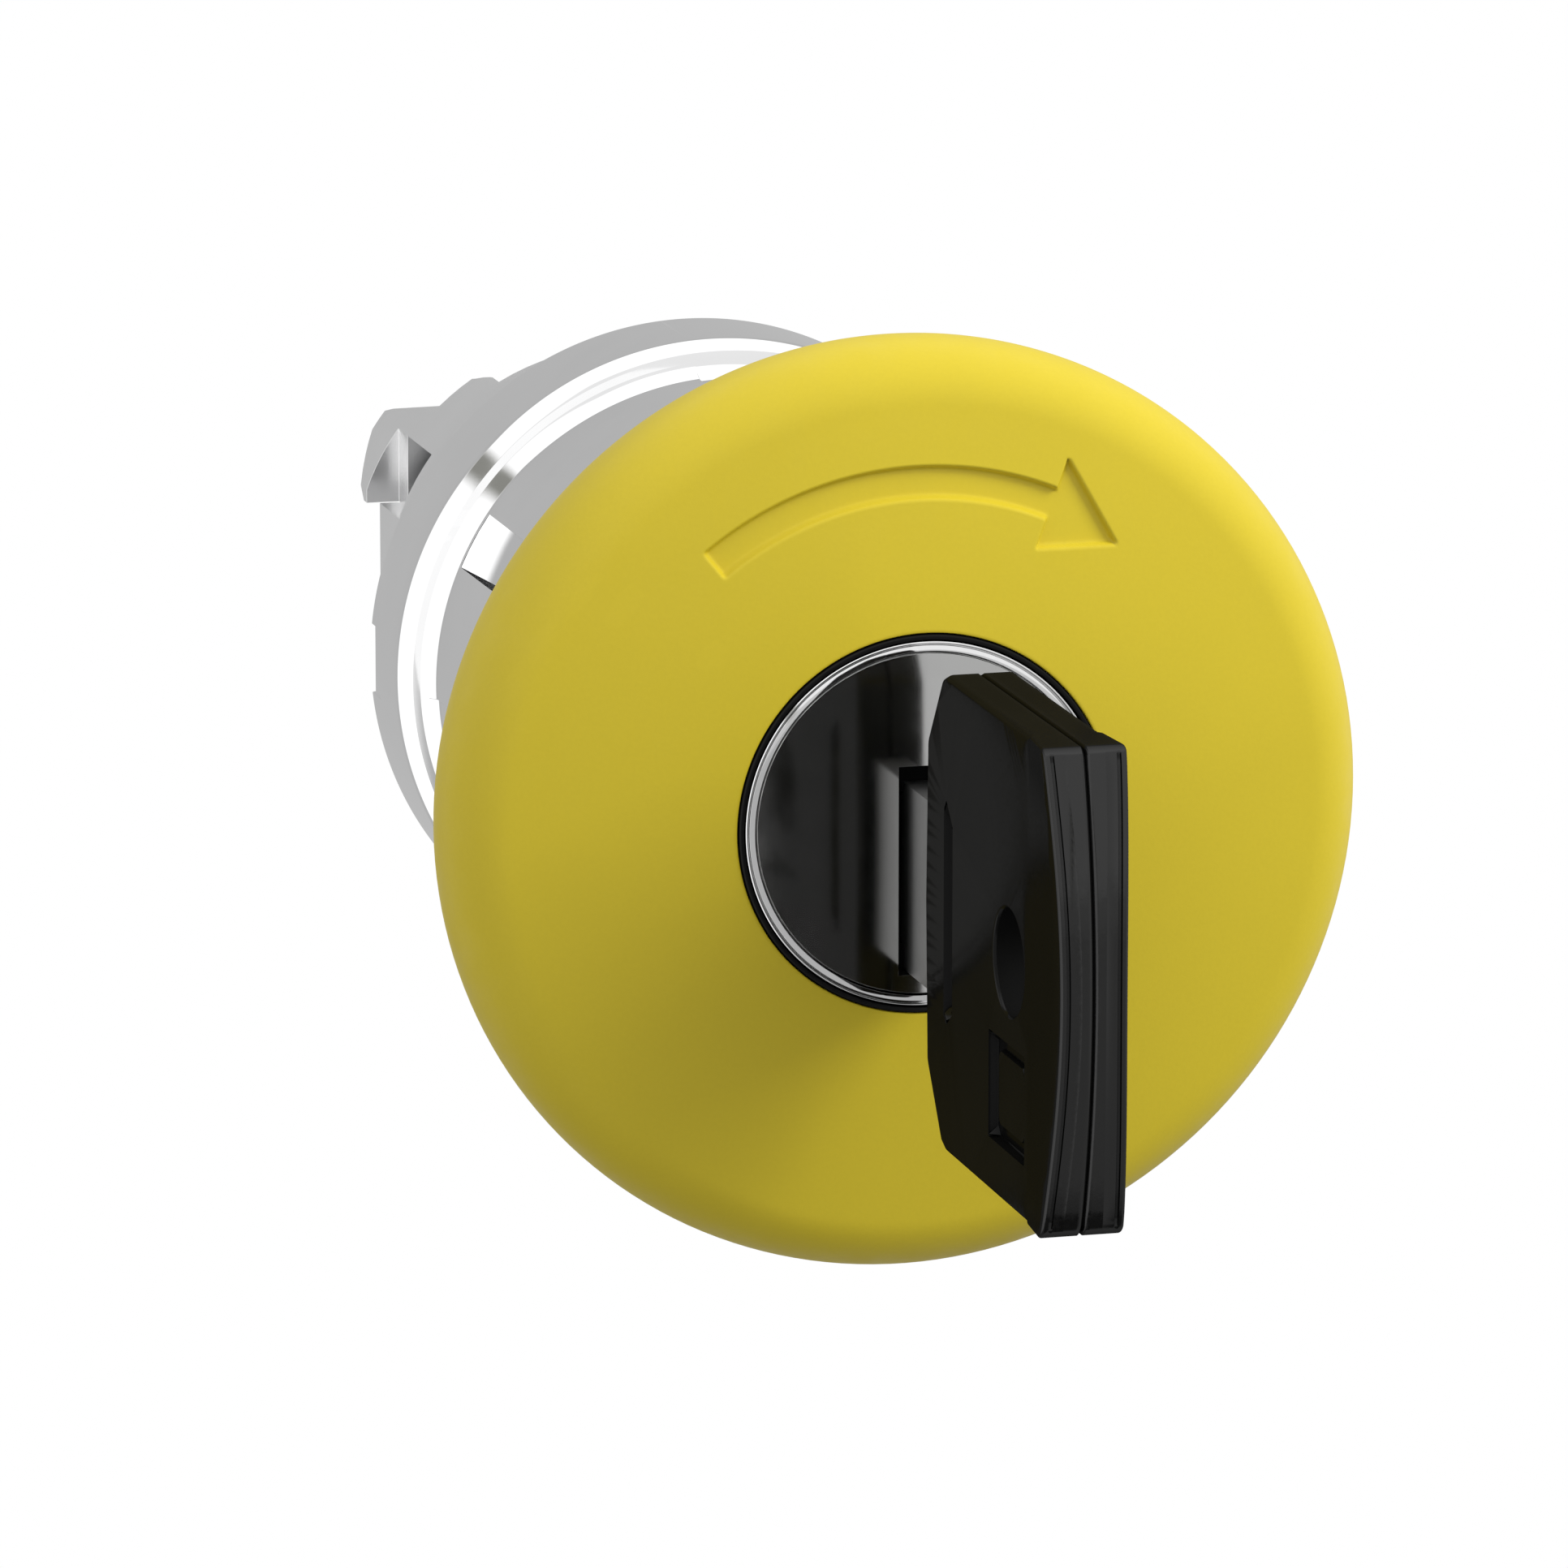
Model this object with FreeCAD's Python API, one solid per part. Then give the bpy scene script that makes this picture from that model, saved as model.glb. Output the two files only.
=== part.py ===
import FreeCAD, Part
import math
import os

# Key-release mushroom push-button head for a 22 mm panel hole.
# Millimetres, +Z up. The button axis is Y: the front faces -Y and the bayonet
# tube runs back along +Y. The origin is on the axis in the plane of the panel's
# front face. Rest state: mushroom out, key in and upright.
# Names ending in _Y, _X and _Z are places; Y0 is the front end, Y1 the rear end.

Vec = FreeCAD.Vector

AHEAD_Y = -45.0         # cutters start here, ahead of everything but the key

# Mushroom cap
CAP_R = 20.0
CAP_RIM_Y = -35.5       # widest plane
CAP_RIM_FILLET = 3.1
CAP_DOME_R = 88.0       # radius of curvature of the front
CAP_BACK_Y = -22.6      # rear end of the skirt
CAP_BORE_R = 8.12       # hole for the lock
CAP_CAVITY_R = 13.4     # inside of the skirt
CAP_ROOF_Y = -36.6      # inner face of the front wall
CAP_SCREW_CIRCLE_R = 11.1
CAP_SCREW_ANGLES = (90, 210, 330)
ENGRAVE_DEPTH = 0.35

# Lock
TRIM_R = 7.80           # chrome ferrule round the lock
TRIM_IN_R = 7.36
FACE_R = 7.30           # turning face with the keyway
FACE_Y = -39.84
FACE_BACK_Y = -38.50
PLUG_R = 6.90
PLUG_END_Y = -16.0
PLUG_TAIL_R = 3.0
PLUG_TAIL_Y = -13.92
BARREL_FRONT_Y = -36.60
BARREL_R = 7.78
BARREL_BORE_R = 6.96
BARREL_END_Y = -14.5
MOUTH_HALF_W = 1.15     # keyway mouth
MOUTH_TOP = 2.47
MOUTH_BOTTOM = -6.47
MOUTH_FLOOR_Y = -38.66
WAFER_PITCH = 2.6
WAFER_YS = [-35.4 + i * WAFER_PITCH for i in range(6)]
WAFER_HALF_T = 0.45
WAFER_SLOT_HALF_T = 0.5
WAFER_SPRING_X = 3.35

# Key
BLADE_HALF_T = 0.72
BLADE_TOP = 1.10
BLADE_BOTTOM = -5.30
BLADE_TIP_Y = -19.0
SHOULDER_Y = -38.85
SHOULDER_TOP = 1.66
SHOULDER_BOTTOM = -6.40
TANG_Y0 = -52.3         # tang inside the grip
TANG_Y1 = -46.6
TANG_TOP = 0.6
TANG_BOTTOM = -5.0
KEY_CUTS = (0.55, 0.95, 0.35, 0.75, 0.45, 0.85)     # notch depths, one per wafer
BOW_MID_Z = -1.95       # mid height of the grip
BOW_HALF_H = 10.05
BOW_TOP = BOW_MID_Z + BOW_HALF_H
BOW_BOTTOM = BOW_MID_Z - BOW_HALF_H
BOW_T = 1.50            # half thickness of the grip
BOW_BACK_Y = -45.35
BOW_RIDGE_Y = -60.1
BOW_FRONT_Y = -64.7
BOW_FRONT_CURVE = 0.0151    # Y setback of the front edge per Z squared
BOW_CORNER = 0.45
BOW_HOLE_R = 2.2
BOW_HOLE_Y = -57.55
BOW_HOLE_Z = -1.85
BOW_JOINT_GAP = 0.01    # each half stands this far off X = 0

# Bezel
FLANGE_R = 14.75
FLANGE_BACK_Y = -0.2
RIM_FACE_Y = -6.25
CREST_R = 13.9
COVE_Y = -7.2
NECK_REAR_R = 13.10
NECK_FRONT_R = 12.40
NECK_FRONT_Y = -25.0
POCKET_Y = -6.95
POCKET_FLOOR_R = 11.5
TUBE_R = 11.1           # goes through the panel hole
TUBE_BORE_R = 8.6
GUIDE_BORE_R = 9.62
GUIDE_Y0 = -8.05
GUIDE_Y1 = -1.5
SLEEVE_BORE_R = 10.95
TUBE_END_Y = 13.5
STEP_END_Y = 16.46
STEP_START_ANGLE = 119.3
HOOK_END_Y = 22.7
HOOK_SHOULDER_Y = 19.2
HOOK_FLOOR_X = 8.87
HOOK_BOTTOM_Z = 3.2
HOOK_START_ANGLE = 132.6
HOOK_NECK_Y = 17.36
HOOK_UNDERSIDE_RUN = 1.043  # Y run per unit of Z along the sloped underside
SLOT_FRONT_Y = 12.4
SLOT_BOTTOM_Z = 3.7
SLOT_TOP_Z = 6.64
RECESS_BOTTOM_Z = 2.0
FLAT_X = 10.42
RELIEF_R = 10.85
RELIEF_Y0 = 8.1
RELIEF_Y1 = 8.8
GASKET_Y = -1.2

# Sliding carrier and latch
STEM_R = 9.55
STEM_FRONT_Y = -34.0
STEM_FLANGE_Y = -32.2   # rear face of the stem's flange
BASE_SPIGOT_R = 8.3
BASE_PIN_Y = -10.9
BASE_PIN_HOLE_R = 0.72
PIN_Y0 = -12.3          # latch pins
PIN_Y1 = -10.3
PIN_HALF_W = 1.5
PIN_GAP = 0.05
PIN_TIP_X = 10.45
PIN_TIP_CHAMFER = 1.4
PIN_RETRACT = 1.2
POCKET_HALF_W = 1.62    # pin openings in the sleeve and bezel
KEY_TURN = 60.0
STUD_X = 5.6
STUD_R = 0.8
SCROLL_HALF_W = STUD_R + 0.06
RING_Y = -8.55
RING_MEAN_R = 10.1
RING_WIRE_R = 0.45

# Rear end
PUSHER_Y0 = 7.3
PUSHER_Y1 = 10.6
CLIP_Y0 = 6.22
CLIP_Y1 = 7.02
CLIP_LUG_ANGLES = (257, 283)


# ---------------------------------------------------------------- helpers
def cyl(r, y0, y1, x=0.0, z=0.0):
    """Cylinder along Y."""
    return Part.makeCylinder(r, y1 - y0, Vec(x, y0, z), Vec(0, 1, 0))


def cyl_x(r, x0, x1, y, z):
    return Part.makeCylinder(r, x1 - x0, Vec(x0, y, z), Vec(1, 0, 0))


def cyl_z(r, z0, z1, x, y):
    return Part.makeCylinder(r, z1 - z0, Vec(x, y, z0), Vec(0, 0, 1))


def ring(outer_r, inner_r, y0, y1):
    return cyl(outer_r, y0, y1).cut(cyl(inner_r, y0 - 1, y1 + 1))


def box(x0, x1, y0, y1, z0, z1):
    return Part.makeBox(x1 - x0, y1 - y0, z1 - z0, Vec(x0, y0, z0))


def polygon(points):
    return Part.makePolygon(points + [points[0]])


def prism_y(xz, y0, y1):
    face = Part.Face(polygon([Vec(x, y0, z) for x, z in xz]))
    return face.extrude(Vec(0, y1 - y0, 0))


def prism_x(yz, x0, x1):
    face = Part.Face(polygon([Vec(x0, y, z) for y, z in yz]))
    return face.extrude(Vec(x1 - x0, 0, 0))


def turned(path):
    """Solid of revolution about Y. path is a list of (y, r) points; an item
    with four numbers is (y_mid, r_mid, y, r), an arc through the middle."""
    edges = []
    last = Vec(path[0][1], path[0][0], 0)
    for item in path[1:] + [path[0]]:
        end = Vec(item[-1], item[-2], 0)
        if len(item) == 4:
            edges.append(Part.Arc(last, Vec(item[1], item[0], 0), end).toShape())
        else:
            edges.append(Part.makeLine(last, end))
        last = end
    solid = Part.Face(Part.Wire(edges)).revolve(Vec(0, 0, 0), Vec(0, 1, 0), 360)
    if solid.Volume < 0:
        solid.reverse()
    return solid


def polar(angle, radius):
    """(x, z) at an angle in degrees, counted from +X towards +Z."""
    a = math.radians(angle)
    return radius * math.cos(a), radius * math.sin(a)


def wedge(angle0, angle1, y0, y1):
    """Sector prism between two angles, reaching beyond every part."""
    count = max(1, int(math.ceil((angle1 - angle0) / 40.0)))
    rim = [polar(angle0 + (angle1 - angle0) * i / count, 60.0) for i in range(count + 1)]
    return prism_y([(0.0, 0.0)] + rim, y0, y1)


def turn_half(shape):
    turned_copy = shape.copy()
    turned_copy.rotate(Vec(0, 0, 0), Vec(0, 1, 0), 180)
    return turned_copy


def side_box(side, x_in, x_out, *yz):
    """Box on the +X side (side 1) or the -X side (side -1)."""
    x0, x1 = sorted((side * x_in, side * x_out))
    return box(x0, x1, *yz)


def cut_both_sides(shape, x_in, x_out, y0, y1, half_w):
    for side in (1, -1):
        shape = shape.cut(side_box(side, x_in, x_out, y0, y1, -half_w, half_w))
    return shape


def coil(mean_r, wire_r, turns, pitch):
    """Round-wire coil along Z from Z = 0."""
    helix = Part.makeHelix(pitch, pitch * turns, mean_r)
    tangent = Vec(0, 1, pitch / (2 * math.pi * mean_r))
    section = Part.Wire(Part.makeCircle(wire_r, Vec(mean_r, 0, 0), tangent))
    return Part.Wire(helix).makePipeShell([section], True, True)


def screw(shank, head, cross, x=0.0, z=0.0):
    """Cross-slotted screw along Y, head at the rear. shank and head are
    (radius, y0, y1); cross is (half width, half length, y0, y1)."""
    body = cyl(*shank, x, z).fuse(cyl(*head, x, z))
    half_w, half_l, y0, y1 = cross
    for dx, dz in ((half_w, half_l), (half_l, half_w)):
        body = body.cut(box(x - dx, x + dx, y0, y1, z - dz, z + dz))
    return body.removeSplitter()


CAP_SCREW_AT = [polar(a, CAP_SCREW_CIRCLE_R) for a in CAP_SCREW_ANGLES]


# ---------------------------------------------------------------- mushroom cap
def cap_envelope():
    """Outside of the cap: the dome runs tangent into the rim fillet."""
    fillet_r = CAP_R - CAP_RIM_FILLET       # radius of the fillet's centre circle
    slope = math.asin(fillet_r / (CAP_DOME_R - CAP_RIM_FILLET))
    tangent_r = fillet_r + CAP_RIM_FILLET * math.sin(slope)
    tangent_y = CAP_RIM_Y - CAP_RIM_FILLET * math.cos(slope)

    def dome_y(r):
        rise = math.sqrt(CAP_DOME_R ** 2 - r ** 2) - math.sqrt(CAP_DOME_R ** 2 - tangent_r ** 2)
        return tangent_y - rise

    mid = (math.pi / 2 - slope) / 2
    return turned([
        (dome_y(0.0), 0.0),
        (dome_y(9.0), 9.0, dome_y(tangent_r), tangent_r),
        (CAP_RIM_Y - CAP_RIM_FILLET * math.sin(mid), fillet_r + CAP_RIM_FILLET * math.cos(mid),
         CAP_RIM_Y, CAP_R),
        (-34.55, 19.80, -33.75, 19.25),
        (-24.6, 15.55),
        (-23.2, 15.25, CAP_BACK_Y, 14.45),
        (CAP_BACK_Y, 0.0),
    ])


def turn_arrow(envelope):
    """Curved arrow engraved in the dome, pointing clockwise seen from the front."""
    shaft = ring(14.95, 13.75, AHEAD_Y, -30).common(wedge(66, 128, AHEAD_Y, -30))
    tip = [polar(66.5, 12.45), polar(66.5, 16.25), polar(53.5, 14.15)]
    arrow = shaft.fuse(prism_y(tip, AHEAD_Y, -30))
    below_skin = envelope.copy()
    below_skin.translate(Vec(0, ENGRAVE_DEPTH, 0))
    return arrow.common(envelope).cut(below_skin)


def mushroom_cap():
    envelope = cap_envelope()
    cap = envelope.cut(cyl(CAP_BORE_R, AHEAD_Y, -30))
    cap = cap.cut(cyl(CAP_CAVITY_R, CAP_ROOF_Y, CAP_BACK_Y + 1))
    # flared mouth of the cavity
    cap = cap.cut(turned([
        (CAP_BACK_Y + 0.5, 0), (CAP_BACK_Y + 0.5, CAP_CAVITY_R + 0.9),
        (CAP_BACK_Y - 0.4, CAP_CAVITY_R), (CAP_BACK_Y - 0.4, 0),
    ]))
    for x, z in CAP_SCREW_AT:
        boss = cyl(2.4, CAP_ROOF_Y - 0.2, -34.02, x, z)
        boss = boss.common(cyl(CAP_CAVITY_R + 0.3, -40, -30)).cut(cyl(9.15, AHEAD_Y, -30))
        cap = cap.fuse(boss)
    for x, z in CAP_SCREW_AT:
        cap = cap.cut(cyl(1.02, -37.6, -33, x, z))
    return cap.cut(turn_arrow(envelope)).removeSplitter()


def cap_screws():
    return Part.makeCompound([
        screw((1.0, -37.4, -32.1), (2.0, -32.2, -31.0), (0.3, 1.3, -31.6, -30), x, z)
        for x, z in CAP_SCREW_AT])


# ---------------------------------------------------------------- lock
def lock_seal_ring():
    return turned([
        (-39.98, 7.83), (-40.02, 7.96, -39.98, 8.09), (-36.62, 8.09), (-36.62, 7.83),
    ])


def lock_trim_ring():
    return turned([
        (-39.90, TRIM_IN_R), (-39.86, 7.60), (-39.80, 7.63), (-39.87, 7.66), (-39.96, 7.69),
        (-39.965, 7.765, -39.89, TRIM_R), (-36.65, TRIM_R), (-36.65, 7.48),
        (FACE_BACK_Y, 7.48), (FACE_BACK_Y, TRIM_IN_R),
    ])


def lock_barrel():
    barrel = cyl(7.46, -38.45, BARREL_FRONT_Y)
    barrel = barrel.fuse(cyl(BARREL_R, BARREL_FRONT_Y, BARREL_END_Y))
    barrel = barrel.fuse(cyl(9.0, -36.58, -34.04))
    barrel = barrel.cut(cyl(BARREL_BORE_R, AHEAD_Y, PLUG_END_Y + 0.05))
    return barrel.cut(cyl(PLUG_TAIL_R + 0.05, -20, -10)).removeSplitter()


def lock_plug():
    plug = turned([
        (FACE_Y, 0), (FACE_Y, FACE_R - 0.05), (FACE_Y + 0.05, FACE_R), (FACE_BACK_Y, FACE_R),
        (FACE_BACK_Y, PLUG_R), (PLUG_END_Y, PLUG_R), (PLUG_END_Y, PLUG_TAIL_R),
        (PLUG_TAIL_Y, PLUG_TAIL_R), (PLUG_TAIL_Y, 0),
    ])
    # square drive for the cam
    plug = plug.fuse(box(-2.0, 2.0, PLUG_TAIL_Y, -12.45, -2.0, 2.0))
    # keyway mouth and blade slot
    plug = plug.cut(box(-MOUTH_HALF_W, MOUTH_HALF_W, AHEAD_Y, MOUTH_FLOOR_Y,
                        MOUTH_BOTTOM, MOUTH_TOP))
    plug = plug.cut(box(-0.78, 0.78, AHEAD_Y, BLADE_TIP_Y + 0.5,
                        BLADE_BOTTOM - 0.06, BLADE_TOP + 0.06))
    # wafer slots, each with room for the wafer's ear and spring
    for y in WAFER_YS:
        y0 = y - WAFER_SLOT_HALF_T
        y1 = y + WAFER_SLOT_HALF_T
        plug = plug.cut(box(-2.45, 2.45, y0, y1, -8, 8))
        plug = plug.cut(box(2.0, 4.15, y0, y1, -1.6, 0.05))
        plug = plug.cut(cyl_z(0.72, 0.0, 8.0, WAFER_SPRING_X, y))
    return plug.cut(cyl(1.02, -17.0, -12.0)).removeSplitter()


def wafer(y):
    y0 = y - WAFER_HALF_T
    y1 = y + WAFER_HALF_T
    plate = box(-2.4, 2.4, y0, y1, -8, 8).common(cyl(6.84, AHEAD_Y, 0))
    plate = plate.fuse(box(2.0, 4.05, y0, y1, -1.1, 0.0))
    window = box(-0.86, 0.86, y - 1, y + 1, BLADE_BOTTOM - 0.15, BLADE_TOP + 0.15)
    return plate.cut(window).removeSplitter()


def wafer_spring(y):
    spring = coil(mean_r=0.5, wire_r=0.11, turns=8, pitch=0.62)
    spring.translate(Vec(WAFER_SPRING_X, y, 0.16))
    return spring


def scroll_slot():
    """Spiral slot that draws a latch pin's stud in as the key turns."""
    steps = 20
    angle0, angle1 = -3.0, KEY_TURN + 3.0
    radius_rate = -PIN_RETRACT / math.radians(KEY_TURN)

    def radius(angle):
        return STUD_X - PIN_RETRACT * angle / KEY_TURN

    inner, outer = [], []
    for i in range(steps + 1):
        angle = angle0 + (angle1 - angle0) * i / steps
        x, z = polar(angle, radius(angle))
        cos_a, sin_a = polar(angle, 1.0)
        tangent_x = radius_rate * cos_a - z
        tangent_z = radius_rate * sin_a + x
        length = math.hypot(tangent_x, tangent_z)
        dx = tangent_z / length * SCROLL_HALF_W
        dz = -tangent_x / length * SCROLL_HALF_W
        outer.append((x + dx, z + dz))
        inner.append((x - dx, z - dz))
    slot = prism_y(outer + inner[::-1], -15, -11)
    for angle in (angle0, angle1):
        slot = slot.fuse(cyl(SCROLL_HALF_W, -15, -11, *polar(angle, radius(angle))))
    return slot


def latch_cam():
    cam = cyl(7.2, -13.9, -12.4).cut(box(-2.03, 2.03, -15, -11, -2.03, 2.03))
    slot = scroll_slot()
    return cam.cut(slot).cut(turn_half(slot)).removeSplitter()


# ---------------------------------------------------------------- key
def key_blade():
    # (y, z) side outline: blade, shoulders, then the tang
    blade = prism_x([
        (SHOULDER_Y, SHOULDER_BOTTOM), (SHOULDER_Y, BLADE_BOTTOM),
        (BLADE_TIP_Y - 2.2, BLADE_BOTTOM), (BLADE_TIP_Y, -2.9), (BLADE_TIP_Y, -1.7),
        (BLADE_TIP_Y - 1.8, BLADE_TOP), (SHOULDER_Y, BLADE_TOP), (SHOULDER_Y, SHOULDER_TOP),
        (TANG_Y1, SHOULDER_TOP), (TANG_Y1, TANG_TOP), (TANG_Y0, TANG_TOP),
        (TANG_Y0, TANG_BOTTOM), (TANG_Y1, TANG_BOTTOM), (TANG_Y1, SHOULDER_BOTTOM),
    ], -BLADE_HALF_T, BLADE_HALF_T)
    for y, depth in zip(WAFER_YS, KEY_CUTS):
        floor_z = BLADE_TOP - depth
        blade = blade.cut(prism_x([
            (y - 0.3, floor_z), (y + 0.3, floor_z),
            (y + 0.5 + depth, BLADE_TOP + 0.2), (y - 0.5 - depth, BLADE_TOP + 0.2),
        ], -3, 3))
    # one long groove in each face
    blade = blade.cut(box(0.32, 1.0, -38.6, BLADE_TIP_Y + 1, -3.3, -2.5))
    blade = blade.cut(box(-1.0, -0.32, -38.6, BLADE_TIP_Y + 1, -1.5, -0.7))
    return blade.cut(cyl_x(0.9, -2, 2, -49.6, -2.2)).removeSplitter()


def bow_outline():
    """Side outline of the grip in the YZ plane, at X = 0."""
    def front_y(z):
        return BOW_FRONT_Y + BOW_FRONT_CURVE * (z - BOW_MID_Z) ** 2

    def point(y, z):
        return Vec(0, y, z)

    def arc(start, middle, end):
        return Part.Arc(start, middle, end).toShape()

    line = Part.makeLine
    back = [
        point(-48.1, BOW_TOP), point(-47.6, 7.86), point(BOW_BACK_Y, 4.87),
        point(BOW_BACK_Y, -8.77), point(-47.6, -11.76), point(-48.1, BOW_BOTTOM),
    ]
    top_y = front_y(BOW_TOP - BOW_CORNER)
    low_y = front_y(BOW_BOTTOM + BOW_CORNER)
    top_rear = point(top_y + BOW_CORNER, BOW_TOP)
    top_front = point(top_y, BOW_TOP - BOW_CORNER)
    low_rear = point(low_y + BOW_CORNER, BOW_BOTTOM)
    low_front = point(low_y, BOW_BOTTOM + BOW_CORNER)
    return Part.Wire([
        line(back[0], back[1]),
        line(back[1], back[2]),
        arc(back[2], point(BOW_BACK_Y + 0.27, BOW_MID_Z), back[3]),
        line(back[3], back[4]),
        line(back[4], back[5]),
        line(back[5], low_rear),
        arc(low_rear, point(low_y + 0.14, BOW_BOTTOM + 0.13), low_front),
        arc(low_front, point(BOW_FRONT_Y, BOW_MID_Z), top_front),
        arc(top_front, point(top_y + 0.14, BOW_TOP - 0.13), top_rear),
        line(top_rear, back[0]),
    ])


def bow_front_block(side):
    """Loft ahead of the ridge: flat-sided at the ridge, dished at the front."""
    x = side * BOW_T
    front_x = side * 1.93
    y = BOW_FRONT_Y - 0.2
    low, high = BOW_BOTTOM - 0.5, BOW_TOP + 0.5
    ridge = polygon([Vec(0, BOW_RIDGE_Y, low), Vec(x, BOW_RIDGE_Y, low),
                     Vec(x, BOW_RIDGE_Y, high), Vec(0, BOW_RIDGE_Y, high)])
    dished = Part.Wire([
        Part.makeLine(Vec(0, y, low), Vec(front_x, y, low)),
        Part.Arc(Vec(front_x, y, low), Vec(side * 1.396, y, BOW_MID_Z),
                 Vec(front_x, y, high)).toShape(),
        Part.makeLine(Vec(front_x, y, high), Vec(0, y, high)),
        Part.makeLine(Vec(0, y, high), Vec(0, y, low)),
    ])
    block = Part.makeLoft([ridge, dished], True, True)
    if block.Volume < 0:
        block.reverse()
    return block


def bow_slab(side, thickness):
    slab = Part.Face(bow_outline()).extrude(Vec(side * thickness, 0, 0))
    slab.translate(Vec(side * BOW_JOINT_GAP, 0, 0))
    return slab


def key_bow(side):
    """Half of the grip; side -1 is the half at -X."""
    thick_slab = bow_slab(side, 2.2)
    behind_ridge = side_box(side, 0, BOW_T, BOW_RIDGE_Y, -40, -20, 20)
    plate = bow_slab(side, BOW_T - BOW_JOINT_GAP)
    outer_edges = [
        edge for edge in plate.Edges
        if edge.BoundBox.XLength < 1e-3
        and abs(abs(edge.valueAt(edge.FirstParameter).x) - BOW_T) < 1e-3]
    plate = plate.makeChamfer(0.28, outer_edges)
    half = plate.common(behind_ridge).fuse(thick_slab.common(bow_front_block(side)))
    half = half.removeSplitter()
    # V groove along the joint line
    seam = [edge for edge in half.Edges
            if max(abs(edge.BoundBox.XMin), abs(edge.BoundBox.XMax)) < BOW_JOINT_GAP + 1e-3]
    half = half.makeChamfer(0.20, seam)
    # pocket for the shoulders and the tang
    pocket_x = BLADE_HALF_T + 0.02
    half = half.cut(box(-pocket_x, pocket_x, TANG_Y1 - 0.04, -40,
                        SHOULDER_BOTTOM - 0.03, SHOULDER_TOP + 0.03))
    half = half.cut(box(-pocket_x, pocket_x, TANG_Y0 - 0.05, -46,
                        TANG_BOTTOM - 0.04, TANG_TOP + 0.04))
    half = half.cut(cyl_x(BOW_HOLE_R, -5, 5, BOW_HOLE_Y, BOW_HOLE_Z))
    # groove with slanted ends and a plain recess, both in the outer face
    x0, x1 = sorted((side * (BOW_T - 0.32), side * 3))
    half = half.cut(prism_x([(-49.3, -5.97), (-48.45, -6.55), (-48.0, -6.2), (-48.0, 2.5),
                             (-48.35, 2.9), (-49.3, 2.0)], x0, x1))
    half = half.cut(side_box(side, BOW_T - 0.40, 3, -59.95, -54.75, -9.72, -5.22))
    return half.removeSplitter()


# ---------------------------------------------------------------- bezel
def bezel_rear():
    """Stepped rear of the tube with the hook on the -X side."""
    step = ring(TUBE_R, TUBE_BORE_R, TUBE_END_Y - 0.5, STEP_END_Y)
    step = step.common(wedge(STEP_START_ANGLE, 186, 0, 30))
    step = step.cut(prism_x([
        (14.7, 9.68), (15.6, 9.535), (16.2, 9.38),
        (STEP_END_Y + 0.5, 9.25), (STEP_END_Y + 0.5, 12), (14.7, 12),
    ], -12, -2))
    hook = ring(TUBE_R, TUBE_BORE_R, TUBE_END_Y - 0.5, HOOK_END_Y)
    hook = hook.common(wedge(HOOK_START_ANGLE, 175, 0, 30))
    hook = hook.common(box(-20, 20, 0, 30, HOOK_BOTTOM_Z, 20))
    # sloped top, then sloped underside
    hook = hook.cut(prism_x([
        (STEP_END_Y, 8.13), (21.8, 7.105), (HOOK_END_Y + 0.5, 6.72),
        (HOOK_END_Y + 0.5, 13), (STEP_END_Y, 13),
    ], -14, 0))
    hook = hook.cut(prism_x([
        (HOOK_END_Y + 1.0, 6.01 + 1.0 / HOOK_UNDERSIDE_RUN),
        (19.83 - 0.65, 3.23 - 0.65 / HOOK_UNDERSIDE_RUN),
        (HOOK_END_Y + 1.0, 2.0),
    ], -14, 0))
    return step.fuse(hook)


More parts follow.
